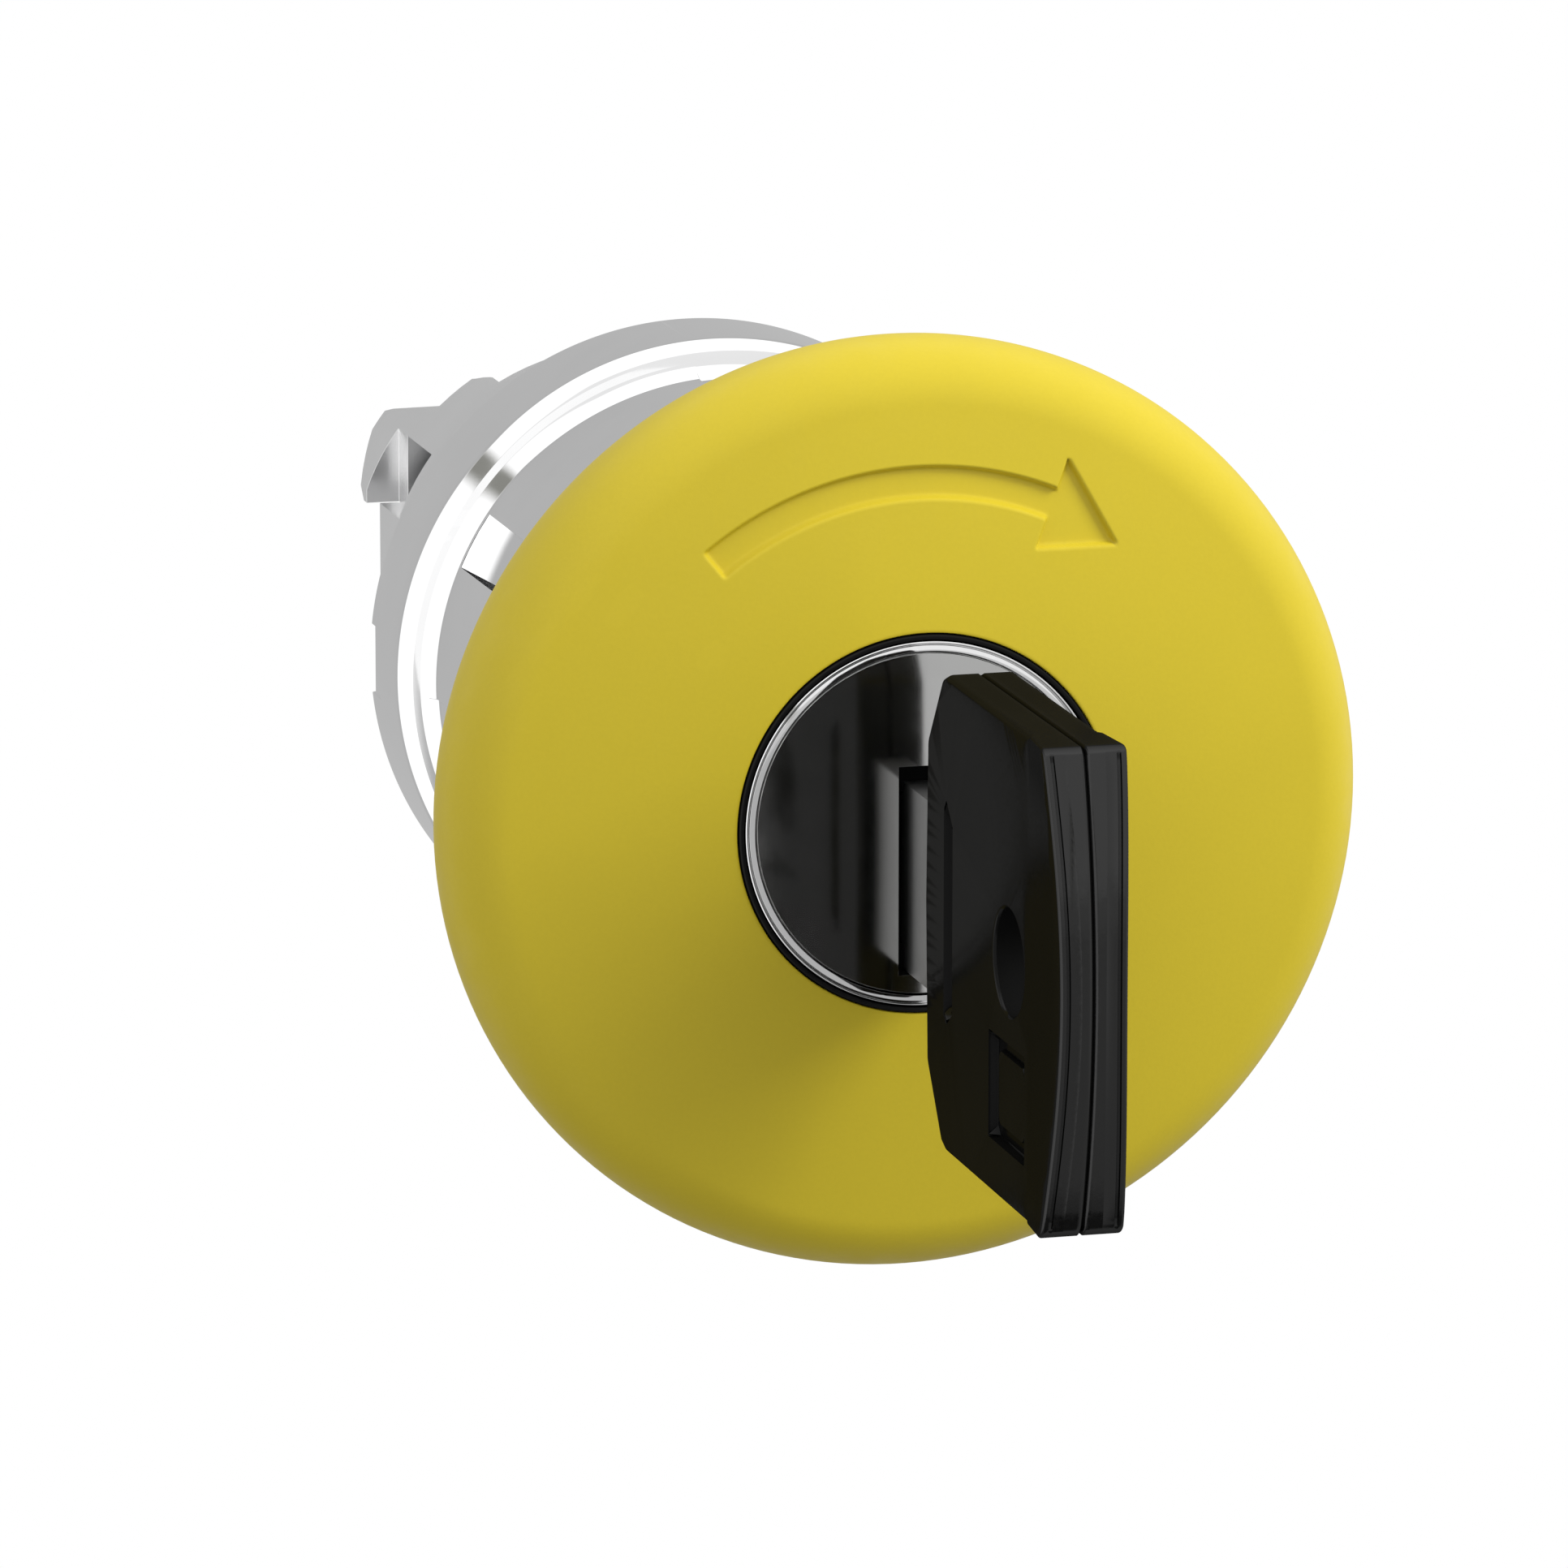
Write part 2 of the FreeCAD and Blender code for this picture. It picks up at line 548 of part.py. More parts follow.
def bezel_body():
    bezel = turned([
        (NECK_FRONT_Y, SLEEVE_BORE_R), (NECK_FRONT_Y, NECK_FRONT_R - 0.4),
        (NECK_FRONT_Y + 0.4, NECK_FRONT_R), (COVE_Y, NECK_REAR_R),
        (COVE_Y + 0.629, NECK_REAR_R + 0.223, COVE_Y + 0.978, NECK_REAR_R + 0.792),
        (RIM_FACE_Y + 0.003, CREST_R + 0.056), (-5.995, 14.495, -5.38, FLANGE_R),
        (-0.45, FLANGE_R), (FLANGE_BACK_Y, FLANGE_R - 0.25), (FLANGE_BACK_Y, TUBE_R),
        (TUBE_END_Y, TUBE_R), (TUBE_END_Y, TUBE_BORE_R), (GUIDE_Y1, TUBE_BORE_R),
        (GUIDE_Y1, GUIDE_BORE_R), (GUIDE_Y0, GUIDE_BORE_R), (GUIDE_Y0, SLEEVE_BORE_R),
    ])
    # raised sector on the neck
    raised_y0 = NECK_FRONT_Y + 0.5
    raised = Part.makeCone(NECK_FRONT_R + 0.1, NECK_REAR_R + 0.1, COVE_Y + 0.2 - raised_y0,
                           Vec(0, raised_y0, 0), Vec(0, 1, 0))
    raised = raised.common(wedge(95, 183.1, -30, 0)).cut(cyl(12.0, -30, 0))
    bezel = bezel.fuse(raised)
    # tool pocket, its floor sloping inwards from the rear end
    pocket = turned([
        (POCKET_Y, 16.0), (POCKET_Y, NECK_REAR_R + 0.06), (POCKET_Y - 3.0, POCKET_FLOOR_R),
        (-27.0, POCKET_FLOOR_R), (-27.0, 16.0),
    ])
    bezel = bezel.cut(pocket.common(wedge(145.0, 156.6, -30, 0)))
    # two hooks half a turn apart, each with an open slot, a shoulder recess and a flat
    rear = bezel_rear()
    bezel = bezel.fuse(rear).fuse(turn_half(rear))
    slot = box(-20, -5.0, SLOT_FRONT_Y, HOOK_NECK_Y, SLOT_BOTTOM_Z, SLOT_TOP_Z)
    slot = slot.fuse(box(-20, -5.0, STEP_END_Y, HOOK_NECK_Y, RECESS_BOTTOM_Z, SLOT_TOP_Z))
    recess = box(-20, -HOOK_FLOOR_X, STEP_END_Y, HOOK_SHOULDER_Y, RECESS_BOTTOM_Z, SLOT_TOP_Z)
    flat = box(-20, -FLAT_X, RELIEF_Y1, 30, -3.4, 4.2)
    for tool in (slot, recess, flat):
        bezel = bezel.cut(tool).cut(turn_half(tool))
    # relief behind the plain land that centres in the panel hole
    bezel = bezel.cut(ring(12.0, RELIEF_R, RELIEF_Y0, RELIEF_Y1))
    # seal groove, index notch, circlip groove, latch pin pockets
    bezel = bezel.cut(ring(13.5, RELIEF_R, GASKET_Y, 0.0))
    bezel = bezel.cut(box(-20, -14.4, -0.45, 0.5, -1.55, 1.55))
    bezel = bezel.cut(box(-14.8, -14.5, -2.0, -0.1, -1.55, 1.55))
    bezel = bezel.cut(ring(9.2, 8.0, 6.2, 7.1))
    return cut_both_sides(bezel, 8.0, 10.62, -8.2, -5.7, POCKET_HALF_W).removeSplitter()


def panel_gasket():
    return turned([
        (GASKET_Y, RELIEF_R + 0.1), (GASKET_Y, 13.45), (-0.35, 13.45), (0.0, 13.15),
        (0.0, 11.45), (-0.3, RELIEF_R + 0.1),
    ])


def guide_sleeve():
    outer_r = SLEEVE_BORE_R - 0.02
    sleeve = turned([
        (-24.2, outer_r), (-9.07, outer_r), (-9.07, GUIDE_BORE_R), (-23.9, GUIDE_BORE_R),
        (-24.2, 9.9),
    ])
    return cut_both_sides(sleeve, 8.0, 12.0, -12.5, -9.0, POCKET_HALF_W).removeSplitter()


def stem_wiper_seal():
    return turned([
        (-25.2, 9.58), (-25.35, 9.95), (-24.95, 10.3), (-24.95, 10.93), (-24.22, 10.93),
        (-24.22, 10.0), (-24.75, 9.58),
    ])


def latch_ring():
    """Open wire ring."""
    wire = Part.makeTorus(RING_MEAN_R, RING_WIRE_R, Vec(0, RING_Y, 0), Vec(0, 1, 0))
    return wire.cut(wedge(82, 98, -20, 0))


# ---------------------------------------------------------------- sliding carrier
def carrier_stem():
    stem = cyl(STEM_R, STEM_FRONT_Y, -9.4).fuse(cyl(13.2, STEM_FRONT_Y, STEM_FLANGE_Y))
    stem = stem.cut(cyl(7.82, -35, -5)).cut(cyl(8.36, PIN_Y0 - PIN_GAP, -5))
    stem = cut_both_sides(stem, 7.0, 12.0, PIN_Y0 - PIN_GAP, PIN_Y1 + PIN_GAP,
                          PIN_HALF_W + PIN_GAP)
    for x, z in CAP_SCREW_AT:
        stem = stem.cut(cyl(1.2, -35, -30, x, z))
        stem = stem.cut(cyl(2.15, STEM_FLANGE_Y, -30, x, z))
    stem = stem.cut(cyl_z(BASE_PIN_HOLE_R, -12, 12, 0, BASE_PIN_Y))
    # three scallops in the flange's edge
    for angle in (30, 150, 270):
        stem = stem.cut(cyl(2.2, -35, -31, *polar(angle, 14.2)))
    return stem.removeSplitter()


def carrier_base():
    base = cyl(BASE_SPIGOT_R, -12.33, -9.42).fuse(cyl(STEM_R, -9.38, -6.5))
    base = base.fuse(cyl(BASE_SPIGOT_R, -9.6, -9.3)).fuse(cyl(3.6, -7.0, PUSHER_Y0))
    half_w = PIN_HALF_W + PIN_GAP
    base = base.cut(box(-12, 12, -12.5, PIN_Y1 + PIN_GAP, -half_w, half_w))
    base = base.cut(cyl(3.0, -12.5, -10.9))
    for z0, z1 in ((5.9, 12.0), (-12.0, -5.9)):
        base = base.cut(cyl_z(BASE_PIN_HOLE_R, z0, z1, 0, BASE_PIN_Y))
    return base.cut(cyl(1.27, -3.0, 8.0)).removeSplitter()


def base_pins():
    return Part.makeCompound([
        cyl_z(0.70, z0, z1, 0, BASE_PIN_Y) for z0, z1 in ((6.0, 9.48), (-9.48, -6.0))])


def latch_pin():
    """Pin on the +X side, bevelled at the tip's rear edge, with a stud for the cam."""
    pin = box(3.9, PIN_TIP_X, PIN_Y0, PIN_Y1, -PIN_HALF_W, PIN_HALF_W)
    pin = pin.common(cyl(PIN_TIP_X, -20, 0))
    bevel = polygon([
        Vec(PIN_TIP_X + 0.5, PIN_Y1 - PIN_TIP_CHAMFER, -3),
        Vec(PIN_TIP_X + 0.5, PIN_Y1 + 0.5, -3),
        Vec(PIN_TIP_X - PIN_TIP_CHAMFER, PIN_Y1 + 0.5, -3),
    ])
    pin = pin.cut(Part.Face(bevel).extrude(Vec(0, 0, 6)))
    return pin.fuse(cyl(STUD_R, PIN_Y0 - 1.4, PIN_Y0 + 0.2, STUD_X, 0)).removeSplitter()


# ---------------------------------------------------------------- rear end
def return_spring():
    spring = coil(mean_r=7.35, wire_r=0.5, turns=3.75, pitch=2.6)
    spring.rotate(Vec(0, 0, 0), Vec(1, 0, 0), -90)
    spring.translate(Vec(0, -5.95, 0))
    return spring


def spring_seat():
    return turned([
        (4.6, 3.68), (4.6, 5.3), (3.6, 5.45), (3.6, 6.2), (4.6, 6.35), (4.6, 8.55),
        (6.2, 8.55), (6.2, 5.0), (5.7, 4.8), (5.7, 3.68),
    ])


def retaining_ring():
    clip = ring(9.15, 8.0, CLIP_Y0, CLIP_Y1).cut(wedge(262, 278, 0, 20))
    for angle in CLIP_LUG_ANGLES:
        clip = clip.fuse(cyl(1.0, CLIP_Y0, CLIP_Y1, *polar(angle, 7.9)))
    for angle in CLIP_LUG_ANGLES:
        clip = clip.cut(cyl(0.5, 5, 8, *polar(angle, 7.85)))
    return clip.removeSplitter()


def contact_pusher():
    pusher = box(-7.7, 7.7, PUSHER_Y0, PUSHER_Y1, -2.7, 2.7)
    pusher = pusher.fuse(box(-2.7, 2.7, PUSHER_Y0, PUSHER_Y1, -6.6, 6.9))
    pusher = pusher.fuse(cyl(4.6, PUSHER_Y0, PUSHER_Y1)).common(cyl(8.2, 0, 20))
    for side in (-1, 1):
        pusher = pusher.fuse(side_box(side, 4.2, 7.4, 10.4, 11.5, -1.7, 1.7))
    return pusher.cut(cyl(1.55, 5, 12)).cut(cyl(3.0, 8.9, 14)).removeSplitter()


# ---------------------------------------------------------------- write
parts = {
    "mushroom_cap": mushroom_cap(),
    "cap_screws": cap_screws(),
    "lock_seal_ring": lock_seal_ring(),
    "lock_trim_ring": lock_trim_ring(),
    "lock_barrel": lock_barrel(),
    "lock_plug": lock_plug(),
    "wafer_tumblers": Part.makeCompound([wafer(y) for y in WAFER_YS]),
    "wafer_springs": Part.makeCompound([wafer_spring(y) for y in WAFER_YS]),
    "latch_cam": latch_cam(),
    "cam_screw": screw((1.0, -16.6, -12.36), (2.5, -12.38, -11.35), (0.3, 3, -11.9, -11)),
    "key_blade": key_blade(),
    "key_bow_left": key_bow(-1),
    "key_bow_right": key_bow(1),
    "bezel_body": bezel_body(),
    "panel_gasket": panel_gasket(),
    "guide_sleeve": guide_sleeve(),
    "stem_wiper_seal": stem_wiper_seal(),
    "latch_ring": latch_ring(),
    "carrier_stem": carrier_stem(),
    "carrier_base": carrier_base(),
    "base_pins": base_pins(),
    "latch_pin_right": latch_pin(),
    "latch_pin_left": turn_half(latch_pin()),
    "return_spring": return_spring(),
    "spring_seat": spring_seat(),
    "retaining_ring": retaining_ring(),
    "contact_pusher": contact_pusher(),
    "pusher_screw": screw((1.25, -2.0, 9.0), (2.8, 8.92, 10.5), (0.4, 2.0, 9.7, 12)),
}

os.makedirs("parts", exist_ok=True)
for name, shape in parts.items():
    shape.exportStep(os.path.join("parts", name + ".step"))
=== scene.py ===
"""Key-release mushroom push-button head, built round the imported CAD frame.

The button's axis is Y. The front, where the key stands, is -Y; +Z is up and +X is right
as seen from the front. The panel face lies near y = 0. Lengths are in millimetres and
become metres through MM, except in the camera and light places, which are in metres.
"""
import bpy
import bmesh
import math
from contextlib import contextmanager
import numpy as np
from mathutils import Vector, Matrix
from mathutils.geometry import delaunay_2d_cdt


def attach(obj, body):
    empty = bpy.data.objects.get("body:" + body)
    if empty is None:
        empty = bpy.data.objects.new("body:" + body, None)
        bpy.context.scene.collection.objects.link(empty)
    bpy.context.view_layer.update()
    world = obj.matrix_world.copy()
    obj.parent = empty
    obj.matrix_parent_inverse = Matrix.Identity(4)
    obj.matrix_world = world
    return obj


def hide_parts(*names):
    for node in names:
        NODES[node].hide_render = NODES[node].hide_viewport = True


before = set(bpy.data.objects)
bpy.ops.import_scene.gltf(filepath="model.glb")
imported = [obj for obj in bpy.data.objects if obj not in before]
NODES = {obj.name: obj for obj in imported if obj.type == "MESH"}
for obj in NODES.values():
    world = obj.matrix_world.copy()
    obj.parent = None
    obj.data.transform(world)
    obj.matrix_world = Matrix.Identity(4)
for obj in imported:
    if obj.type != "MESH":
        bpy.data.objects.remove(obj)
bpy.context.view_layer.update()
MM = 0.001
scene = bpy.context.scene


# ======================================================================= shader graphs
class Graph:
    """Builds the node tree of a material or world. Inputs take a number, an RGB or a socket."""

    def __init__(self, owner, output_kind):
        self.owner = owner
        owner.use_nodes = True
        self.tree = owner.node_tree
        self.tree.nodes.clear()
        self.output = self.add(output_kind)

    def add(self, kind):
        return self.tree.nodes.new("ShaderNode" + kind)

    def feed(self, socket, value):
        if isinstance(value, (int, float)):
            socket.default_value = value
        elif isinstance(value, tuple):
            socket.default_value = (*value, 1.0)
        else:
            self.tree.links.new(value, socket)

    def surface(self, shader):
        self.feed(self.output.inputs["Surface"], shader)

    def coords(self, scale=(1, 1, 1)):
        source = self.add("TexCoord")
        mapping = self.add("Mapping")
        mapping.inputs["Scale"].default_value = scale
        self.feed(mapping.inputs["Vector"], source.outputs["Object"])
        return mapping.outputs["Vector"]

    def split(self, vector):
        node = self.add("SeparateXYZ")
        self.feed(node.inputs[0], vector)
        return node.outputs

    def noise(self, vector, scale, detail=4.0, rough=0.55, distortion=0.0):
        node = self.add("TexNoise")
        node.inputs["Scale"].default_value = scale
        node.inputs["Detail"].default_value = detail
        node.inputs["Roughness"].default_value = rough
        node.inputs["Distortion"].default_value = distortion
        self.feed(node.inputs["Vector"], vector)
        return node.outputs["Fac"]

    def ramp(self, factor, *stops):
        """Colour ramp through two (position, RGB) stops."""
        node = self.add("ValToRGB")
        for element, (position, colour) in zip(node.color_ramp.elements, stops):
            element.position = position
            element.color = (*colour, 1.0)
        self.feed(node.inputs["Fac"], factor)
        return node.outputs["Color"]

    def remap(self, value, src, dst, smooth=False):
        """Maps the range src to the range dst, clamped."""
        node = self.add("MapRange")
        if smooth:
            node.interpolation_type = "SMOOTHSTEP"
        for name, number in zip(("From Min", "From Max", "To Min", "To Max"), (*src, *dst)):
            node.inputs[name].default_value = number
        self.feed(node.inputs["Value"], value)
        return node.outputs["Result"]

    def fade(self, value, start, end):
        """Smooth step from 0 at start to 1 at end; end may be the lower one."""
        dst = (0.0, 1.0) if start < end else (1.0, 0.0)
        return self.remap(value, (min(start, end), max(start, end)), dst, smooth=True)

    def window(self, value, rise, fall):
        """1 between the end of the rise and the start of the fall."""
        return self.calc("MULTIPLY", self.fade(value, *rise), self.fade(value, *fall[::-1]))

    def calc(self, operation, a, b=None):
        node = self.add("Math")
        node.operation = operation
        self.feed(node.inputs[0], a)
        if b is not None:
            self.feed(node.inputs[1], b)
        return node.outputs[0]

    def mix(self, factor, a, b, data_type="RGBA"):
        node = self.add("Mix")
        node.data_type = data_type
        # the node has one set of sockets for each data type
        in_a, in_b, out = (6, 7, 2) if data_type == "RGBA" else (2, 3, 0)
        self.feed(node.inputs[0], factor)
        self.feed(node.inputs[in_a], a)
        self.feed(node.inputs[in_b], b)
        return node.outputs[out]

    def mix_shader(self, factor, a, b):
        node = self.add("MixShader")
        for socket, value in zip(node.inputs, (factor, a, b)):
            self.feed(socket, value)
        return node.outputs[0]

    def bump(self, height, strength, distance, normal=None):
        node = self.add("Bump")
        node.inputs["Strength"].default_value = strength
        node.inputs["Distance"].default_value = distance
        self.feed(node.inputs["Height"], height)
        if normal is not None:
            self.feed(node.inputs["Normal"], normal)
        return node.outputs["Normal"]

    def painted_edge_highlight(self, amount):
        """Painted highlight: 0 on flats to amount on convex edges, from pointiness."""
        geometry = self.add("NewGeometry")
        highlight_share = self.remap(geometry.outputs["Pointiness"], src=(0.50, 0.56), dst=(0.0, 1.0))
        return self.remap(highlight_share, src=(0, 1), dst=(0.0, amount))


def shade(colour, factor, lift=0.0):
    return tuple(c * factor + lift for c in colour)


# ======================================================================= materials
def principled(name):
    """A material's graph and the inputs of its Principled shader."""
    graph = Graph(bpy.data.materials.new(name), "OutputMaterial")
    graph.bsdf = graph.add("BsdfPrincipled")
    graph.surface(graph.bsdf.outputs[0])
    return graph, graph.bsdf.inputs


def plastic(name, colour, rough=0.5, grain=0.8, grain_depth=0.014, tint=0.15, specular=0.5,
            edge=0.2):
    """Moulded plastic: spark-eroded grain, faint flow variation, painted highlights on its edges."""
    g, inputs = principled(name)
    place = g.coords()
    flow = g.noise(place, scale=90.0, detail=3.0, rough=0.5, distortion=0.6)
    patches = g.noise(place, scale=900.0, detail=3.0, rough=0.6)
    fine = g.noise(place, scale=5200.0 * grain, detail=2.0, rough=0.6)
    base = g.ramp(flow, (0.30, shade(colour, 1 - tint)), (0.70, shade(colour, 1 + tint * 0.8)))
    grain_mask = g.remap(fine, src=(0.35, 0.65), dst=(0.0, 0.10))
    base = g.mix(grain_mask, base, shade(colour, 0.82))
    # painted highlight: lighter colour on convex edges
    base = g.mix(g.painted_edge_highlight(edge), base, shade(colour, 1.25, lift=0.02))
    g.feed(inputs["Base Color"], base)
    g.feed(inputs["Roughness"], g.remap(patches, src=(0.3, 0.7), dst=(rough - 0.05, rough + 0.06)))
    normal = g.bump(fine, strength=0.35, distance=grain_depth * MM)
    normal = g.bump(flow, strength=0.10, distance=0.05 * MM, normal=normal)
    g.feed(inputs["Normal"], normal)
    inputs["Specular IOR Level"].default_value = specular
    inputs["Coat Roughness"].default_value = 0.25
    return g


def metal(name, colour, rough, wave, smudge=0.0, brushed=None, pit=0.0):
    """Plated or bare metal with faint casting waviness.

    It is smudged, or brushed when given the coordinate scale that stretches the streaks.
    """
    g, inputs = principled(name)
    place = g.coords()
    inputs["Metallic"].default_value = 1.0
    waviness = g.noise(place, scale=120.0, detail=3.0, rough=0.5, distortion=0.8)
    base = g.ramp(waviness, (0.25, shade(colour, 0.93)), (0.75, colour))
    # painted highlight: brighter colour on convex edges
    base = g.mix(g.painted_edge_highlight(0.2), base, shade(colour, 1.08))
    g.feed(inputs["Base Color"], base)
    if brushed is not None:
        streak = g.noise(g.coords(brushed), scale=2500.0, detail=4.0, rough=0.7)
        roughness = g.remap(streak, src=(0.3, 0.7), dst=(rough - 0.08, rough + 0.12))
        normal = g.bump(streak, strength=0.25, distance=0.006 * MM)
    else:
        smudges = g.noise(place, scale=700.0, detail=5.0, rough=0.65)
        fine = g.noise(place, scale=6000.0, detail=2.0, rough=0.5)
        roughness = g.remap(smudges, src=(0.35, 0.75), dst=(rough, rough + smudge))
        normal = g.bump(fine, strength=0.05 + pit, distance=0.002 * MM + pit * 0.01 * MM)
    g.feed(inputs["Roughness"], roughness)
    g.feed(inputs["Normal"], g.bump(waviness, strength=wave, distance=0.02 * MM, normal=normal))
    return g


def rubber(name, colour, rough):
    g, inputs = principled(name)
    place = g.coords()
    patches = g.noise(place, scale=300.0, detail=4.0, rough=0.6)
    fine = g.noise(place, scale=4500.0, detail=3.0, rough=0.65)
    base = g.ramp(patches, (0.3, colour), (0.75, shade(colour, 1.6, lift=0.004)))
    g.feed(inputs["Base Color"], base)
    g.feed(inputs["Roughness"], g.remap(fine, src=(0.3, 0.7), dst=(rough - 0.08, rough + 0.12)))
    normal = g.bump(patches, strength=0.2, distance=0.03 * MM)
    g.feed(inputs["Normal"], g.bump(fine, strength=0.4, distance=0.012 * MM, normal=normal))
    return g


def even_black(name, colour, gloss, side, rough, grain_depth):
    """Fine-moulded black plastic with a low, even sheen, painted highlights on its edges and painted
    shade in its corners.

    gloss is the share of sheen on faces turned along Y, side the share on the others.
    Where they differ, the faces turned along Y keep their sheen only near the grip's front.
    """
    g, inputs = principled(name)
    place = g.coords()
    patches = g.noise(place, scale=160.0, detail=3.0, rough=0.5, distortion=0.4)
    fine = g.noise(place, scale=5200.0, detail=2.0, rough=0.6)
    base = g.ramp(patches, (0.30, shade(colour, 0.93)), (0.70, shade(colour, 1.07)))
    # painted highlight: lighter colour on convex edges
    base = g.mix(g.painted_edge_highlight(0.35), base, shade(colour, 1.6, lift=0.004))
    # painted shade: ambient occlusion within 2.5 mm darkens the colour in corners and recesses
    occlusion = g.add("AmbientOcclusion")
    occlusion.samples = 8
    occlusion.inputs["Distance"].default_value = 2.5 * MM
    openness = g.remap(occlusion.outputs["AO"], src=(0.35, 0.80), dst=(0.15, 1.0))
    g.feed(inputs["Base Color"], g.mix(openness, (0.0, 0.0, 0.0), base))
    inputs["Roughness"].default_value = 0.6
    inputs["Specular IOR Level"].default_value = 0.0

    sheen = g.add("BsdfAnisotropic")
    sheen.inputs["Color"].default_value = (1, 1, 1, 1)
    g.feed(sheen.inputs["Roughness"],
           g.remap(fine, src=(0.3, 0.7), dst=(rough - 0.05, rough + 0.08)))
    normal = g.bump(fine, strength=0.25, distance=grain_depth * MM)
    g.feed(inputs["Normal"], normal)
    g.feed(sheen.inputs["Normal"], normal)

    source = g.add("TexCoord")
    along_y = g.calc("ABSOLUTE", g.split(source.outputs["Normal"])[1])
    share = g.remap(along_y, src=(0.2, 0.8), dst=(side, gloss))
    if gloss > side:
        y = g.split(source.outputs["Object"])[1]
        near_front = g.remap(y, src=(-62.2 * MM, -61.2 * MM), dst=(1.0, 0.0))
        turned_aside = g.remap(along_y, src=(0.3, 0.7), dst=(1.0, 0.0))
        kept = g.calc("MAXIMUM", near_front, turned_aside)
        share = g.calc("MULTIPLY", share, g.remap(kept, src=(0.0, 1.0), dst=(0.15, 1.0)))
    # painted shade: less sheen in corners and recesses
    share = g.calc("MULTIPLY", share, openness)
    g.surface(g.mix_shader(share, g.bsdf.outputs[0], sheen.outputs[0]))
    return g


def painted_keyway_shade(g, half_width, bottom, top, front):
    """Paints shade on a metal inside the keyway, where the deep slot lies in shadow: |x| <
    half_width, bottom < z < top, y > front, in mm.
    """
    source = g.add("TexCoord")
    x, y, z = g.split(source.outputs["Object"])
    mask = g.calc("LESS_THAN", g.calc("ABSOLUTE", x), half_width * MM)
    mask = g.calc("MULTIPLY", mask, g.calc("GREATER_THAN", z, bottom * MM))
    mask = g.calc("MULTIPLY", mask, g.calc("LESS_THAN", z, top * MM))
    mask = g.calc("MULTIPLY", mask, g.calc("GREATER_THAN", y, front * MM))
    # painted shade: a near-black, rough, non-metal finish in the keyway
    dark = {"Base Color": (0.006, 0.006, 0.006), "Roughness": 0.7, "Metallic": 0.0,
            "Specular IOR Level": 0.05}
    for name, value in dark.items():
        socket = g.bsdf.inputs[name]
        current = socket.links[0].from_socket if socket.is_linked else socket.default_value
        data_type = "RGBA" if name == "Base Color" else "FLOAT"
        g.feed(socket, g.mix(mask, current, value, data_type))
    return g


def painted_glow_underside(g):
    """Painted light: the shell's rear side glows white in reflections, standing in for an open,
    evenly lit studio.
    """
    lights = g.add("LightPath")
    source = g.add("TexCoord")
    facing_back = g.remap(g.split(source.outputs["Normal"])[1], src=(0.02, 0.06), dst=(0.0, 1.0))
    mask = g.calc("MULTIPLY", facing_back, lights.outputs["Is Glossy Ray"])
    # painted glow: white emission on rear-facing faces, seen only by glossy rays
    glow = g.add("Emission")
    glow.inputs["Color"].default_value = (1.0, 1.0, 1.0, 1.0)
    glow.inputs["Strength"].default_value = 1.22
    g.surface(g.mix_shader(mask, g.bsdf.outputs[0], glow.outputs[0]))
    return g


CHROME = (0.83, 0.83, 0.833)
GRAPHS = {
    "yellow": painted_glow_underside(plastic(
        "yellow_moulded", (0.655, 0.515, 0.024), rough=0.44, grain=1.0, grain_depth=0.012,
        tint=0.02, specular=0.36, edge=0.04)),
    "key_black": even_black("key_black_moulded", (0.0066, 0.0066, 0.0064), gloss=0.037,
                            side=0.0125, rough=0.10, grain_depth=0.006),
    "black_pa": plastic("black_polyamide", (0.022, 0.022, 0.023)),
    "grey_pa": plastic("grey_polyamide", (0.33, 0.34, 0.35), grain_depth=0.012, tint=0.06,
                       edge=0.12),
    "rubber": rubber("black_rubber", (0.012, 0.012, 0.013), rough=0.62),
    "seal": even_black("black_lock_seal", (0.0035, 0.0035, 0.0035), gloss=0.012, side=0.012,
                       rough=0.45, grain_depth=0.004),
    "chrome": metal("chrome_plate", CHROME, rough=0.045, wave=0.02, smudge=0.03),
    "chrome_tube": metal("chrome_tube", CHROME, rough=0.22, wave=0.02, smudge=0.03),
    "plug": painted_keyway_shade(
        metal("chrome_plug", (0.80, 0.80, 0.79), rough=0.085, wave=0.04, smudge=0.03),
        half_width=1.18, bottom=-6.55, top=2.55, front=-39.80),
    "steel": metal("key_nickel_steel", (0.12, 0.12, 0.119), rough=0.46, wave=0.01, smudge=0.05),
    "zinc": metal("zinc_plated_steel", (0.70, 0.71, 0.73), rough=0.26, wave=0.15, smudge=0.12,
                  pit=0.1),
    "diecast": metal("zinc_die_cast", (0.55, 0.55, 0.56), rough=0.36, wave=0.25, smudge=0.12,
                     pit=0.5),
    "wire": metal("spring_wire", (0.42, 0.42, 0.43), rough=0.22, wave=0.05, smudge=0.10),
    "brass": metal("brass_wafer", (0.72, 0.52, 0.22), rough=0.24, wave=0.08,
                   brushed=(0.06, 1, 1)),
}
MATERIALS = {key: graph.owner for key, graph in GRAPHS.items()}


# ======================================================================= mesh tools
@contextmanager
def editing(mesh):
    bm = bmesh.new()
    bm.from_mesh(mesh)
    yield bm
    bm.to_mesh(mesh)
    bm.free()


def raw_object(name, verts, faces):
    mesh = bpy.data.meshes.new(name)
    mesh.from_pydata([(x * MM, y * MM, z * MM) for x, y, z in verts], [], faces)
    ob = bpy.data.objects.new(name, mesh)
    scene.collection.objects.link(ob)
    return ob


def solid(name, verts, faces):
    """A plain solid, to be cut or to cut with."""
    ob = raw_object(name, verts, faces)
    with editing(ob.data) as bm:
        bmesh.ops.recalc_face_normals(bm, faces=bm.faces)
    return ob


def set_finish(ob, material):
    ob.data.materials.clear()
    ob.data.materials.append(MATERIALS[material])
    ob.data.polygons.foreach_set("use_smooth", [True] * len(ob.data.polygons))


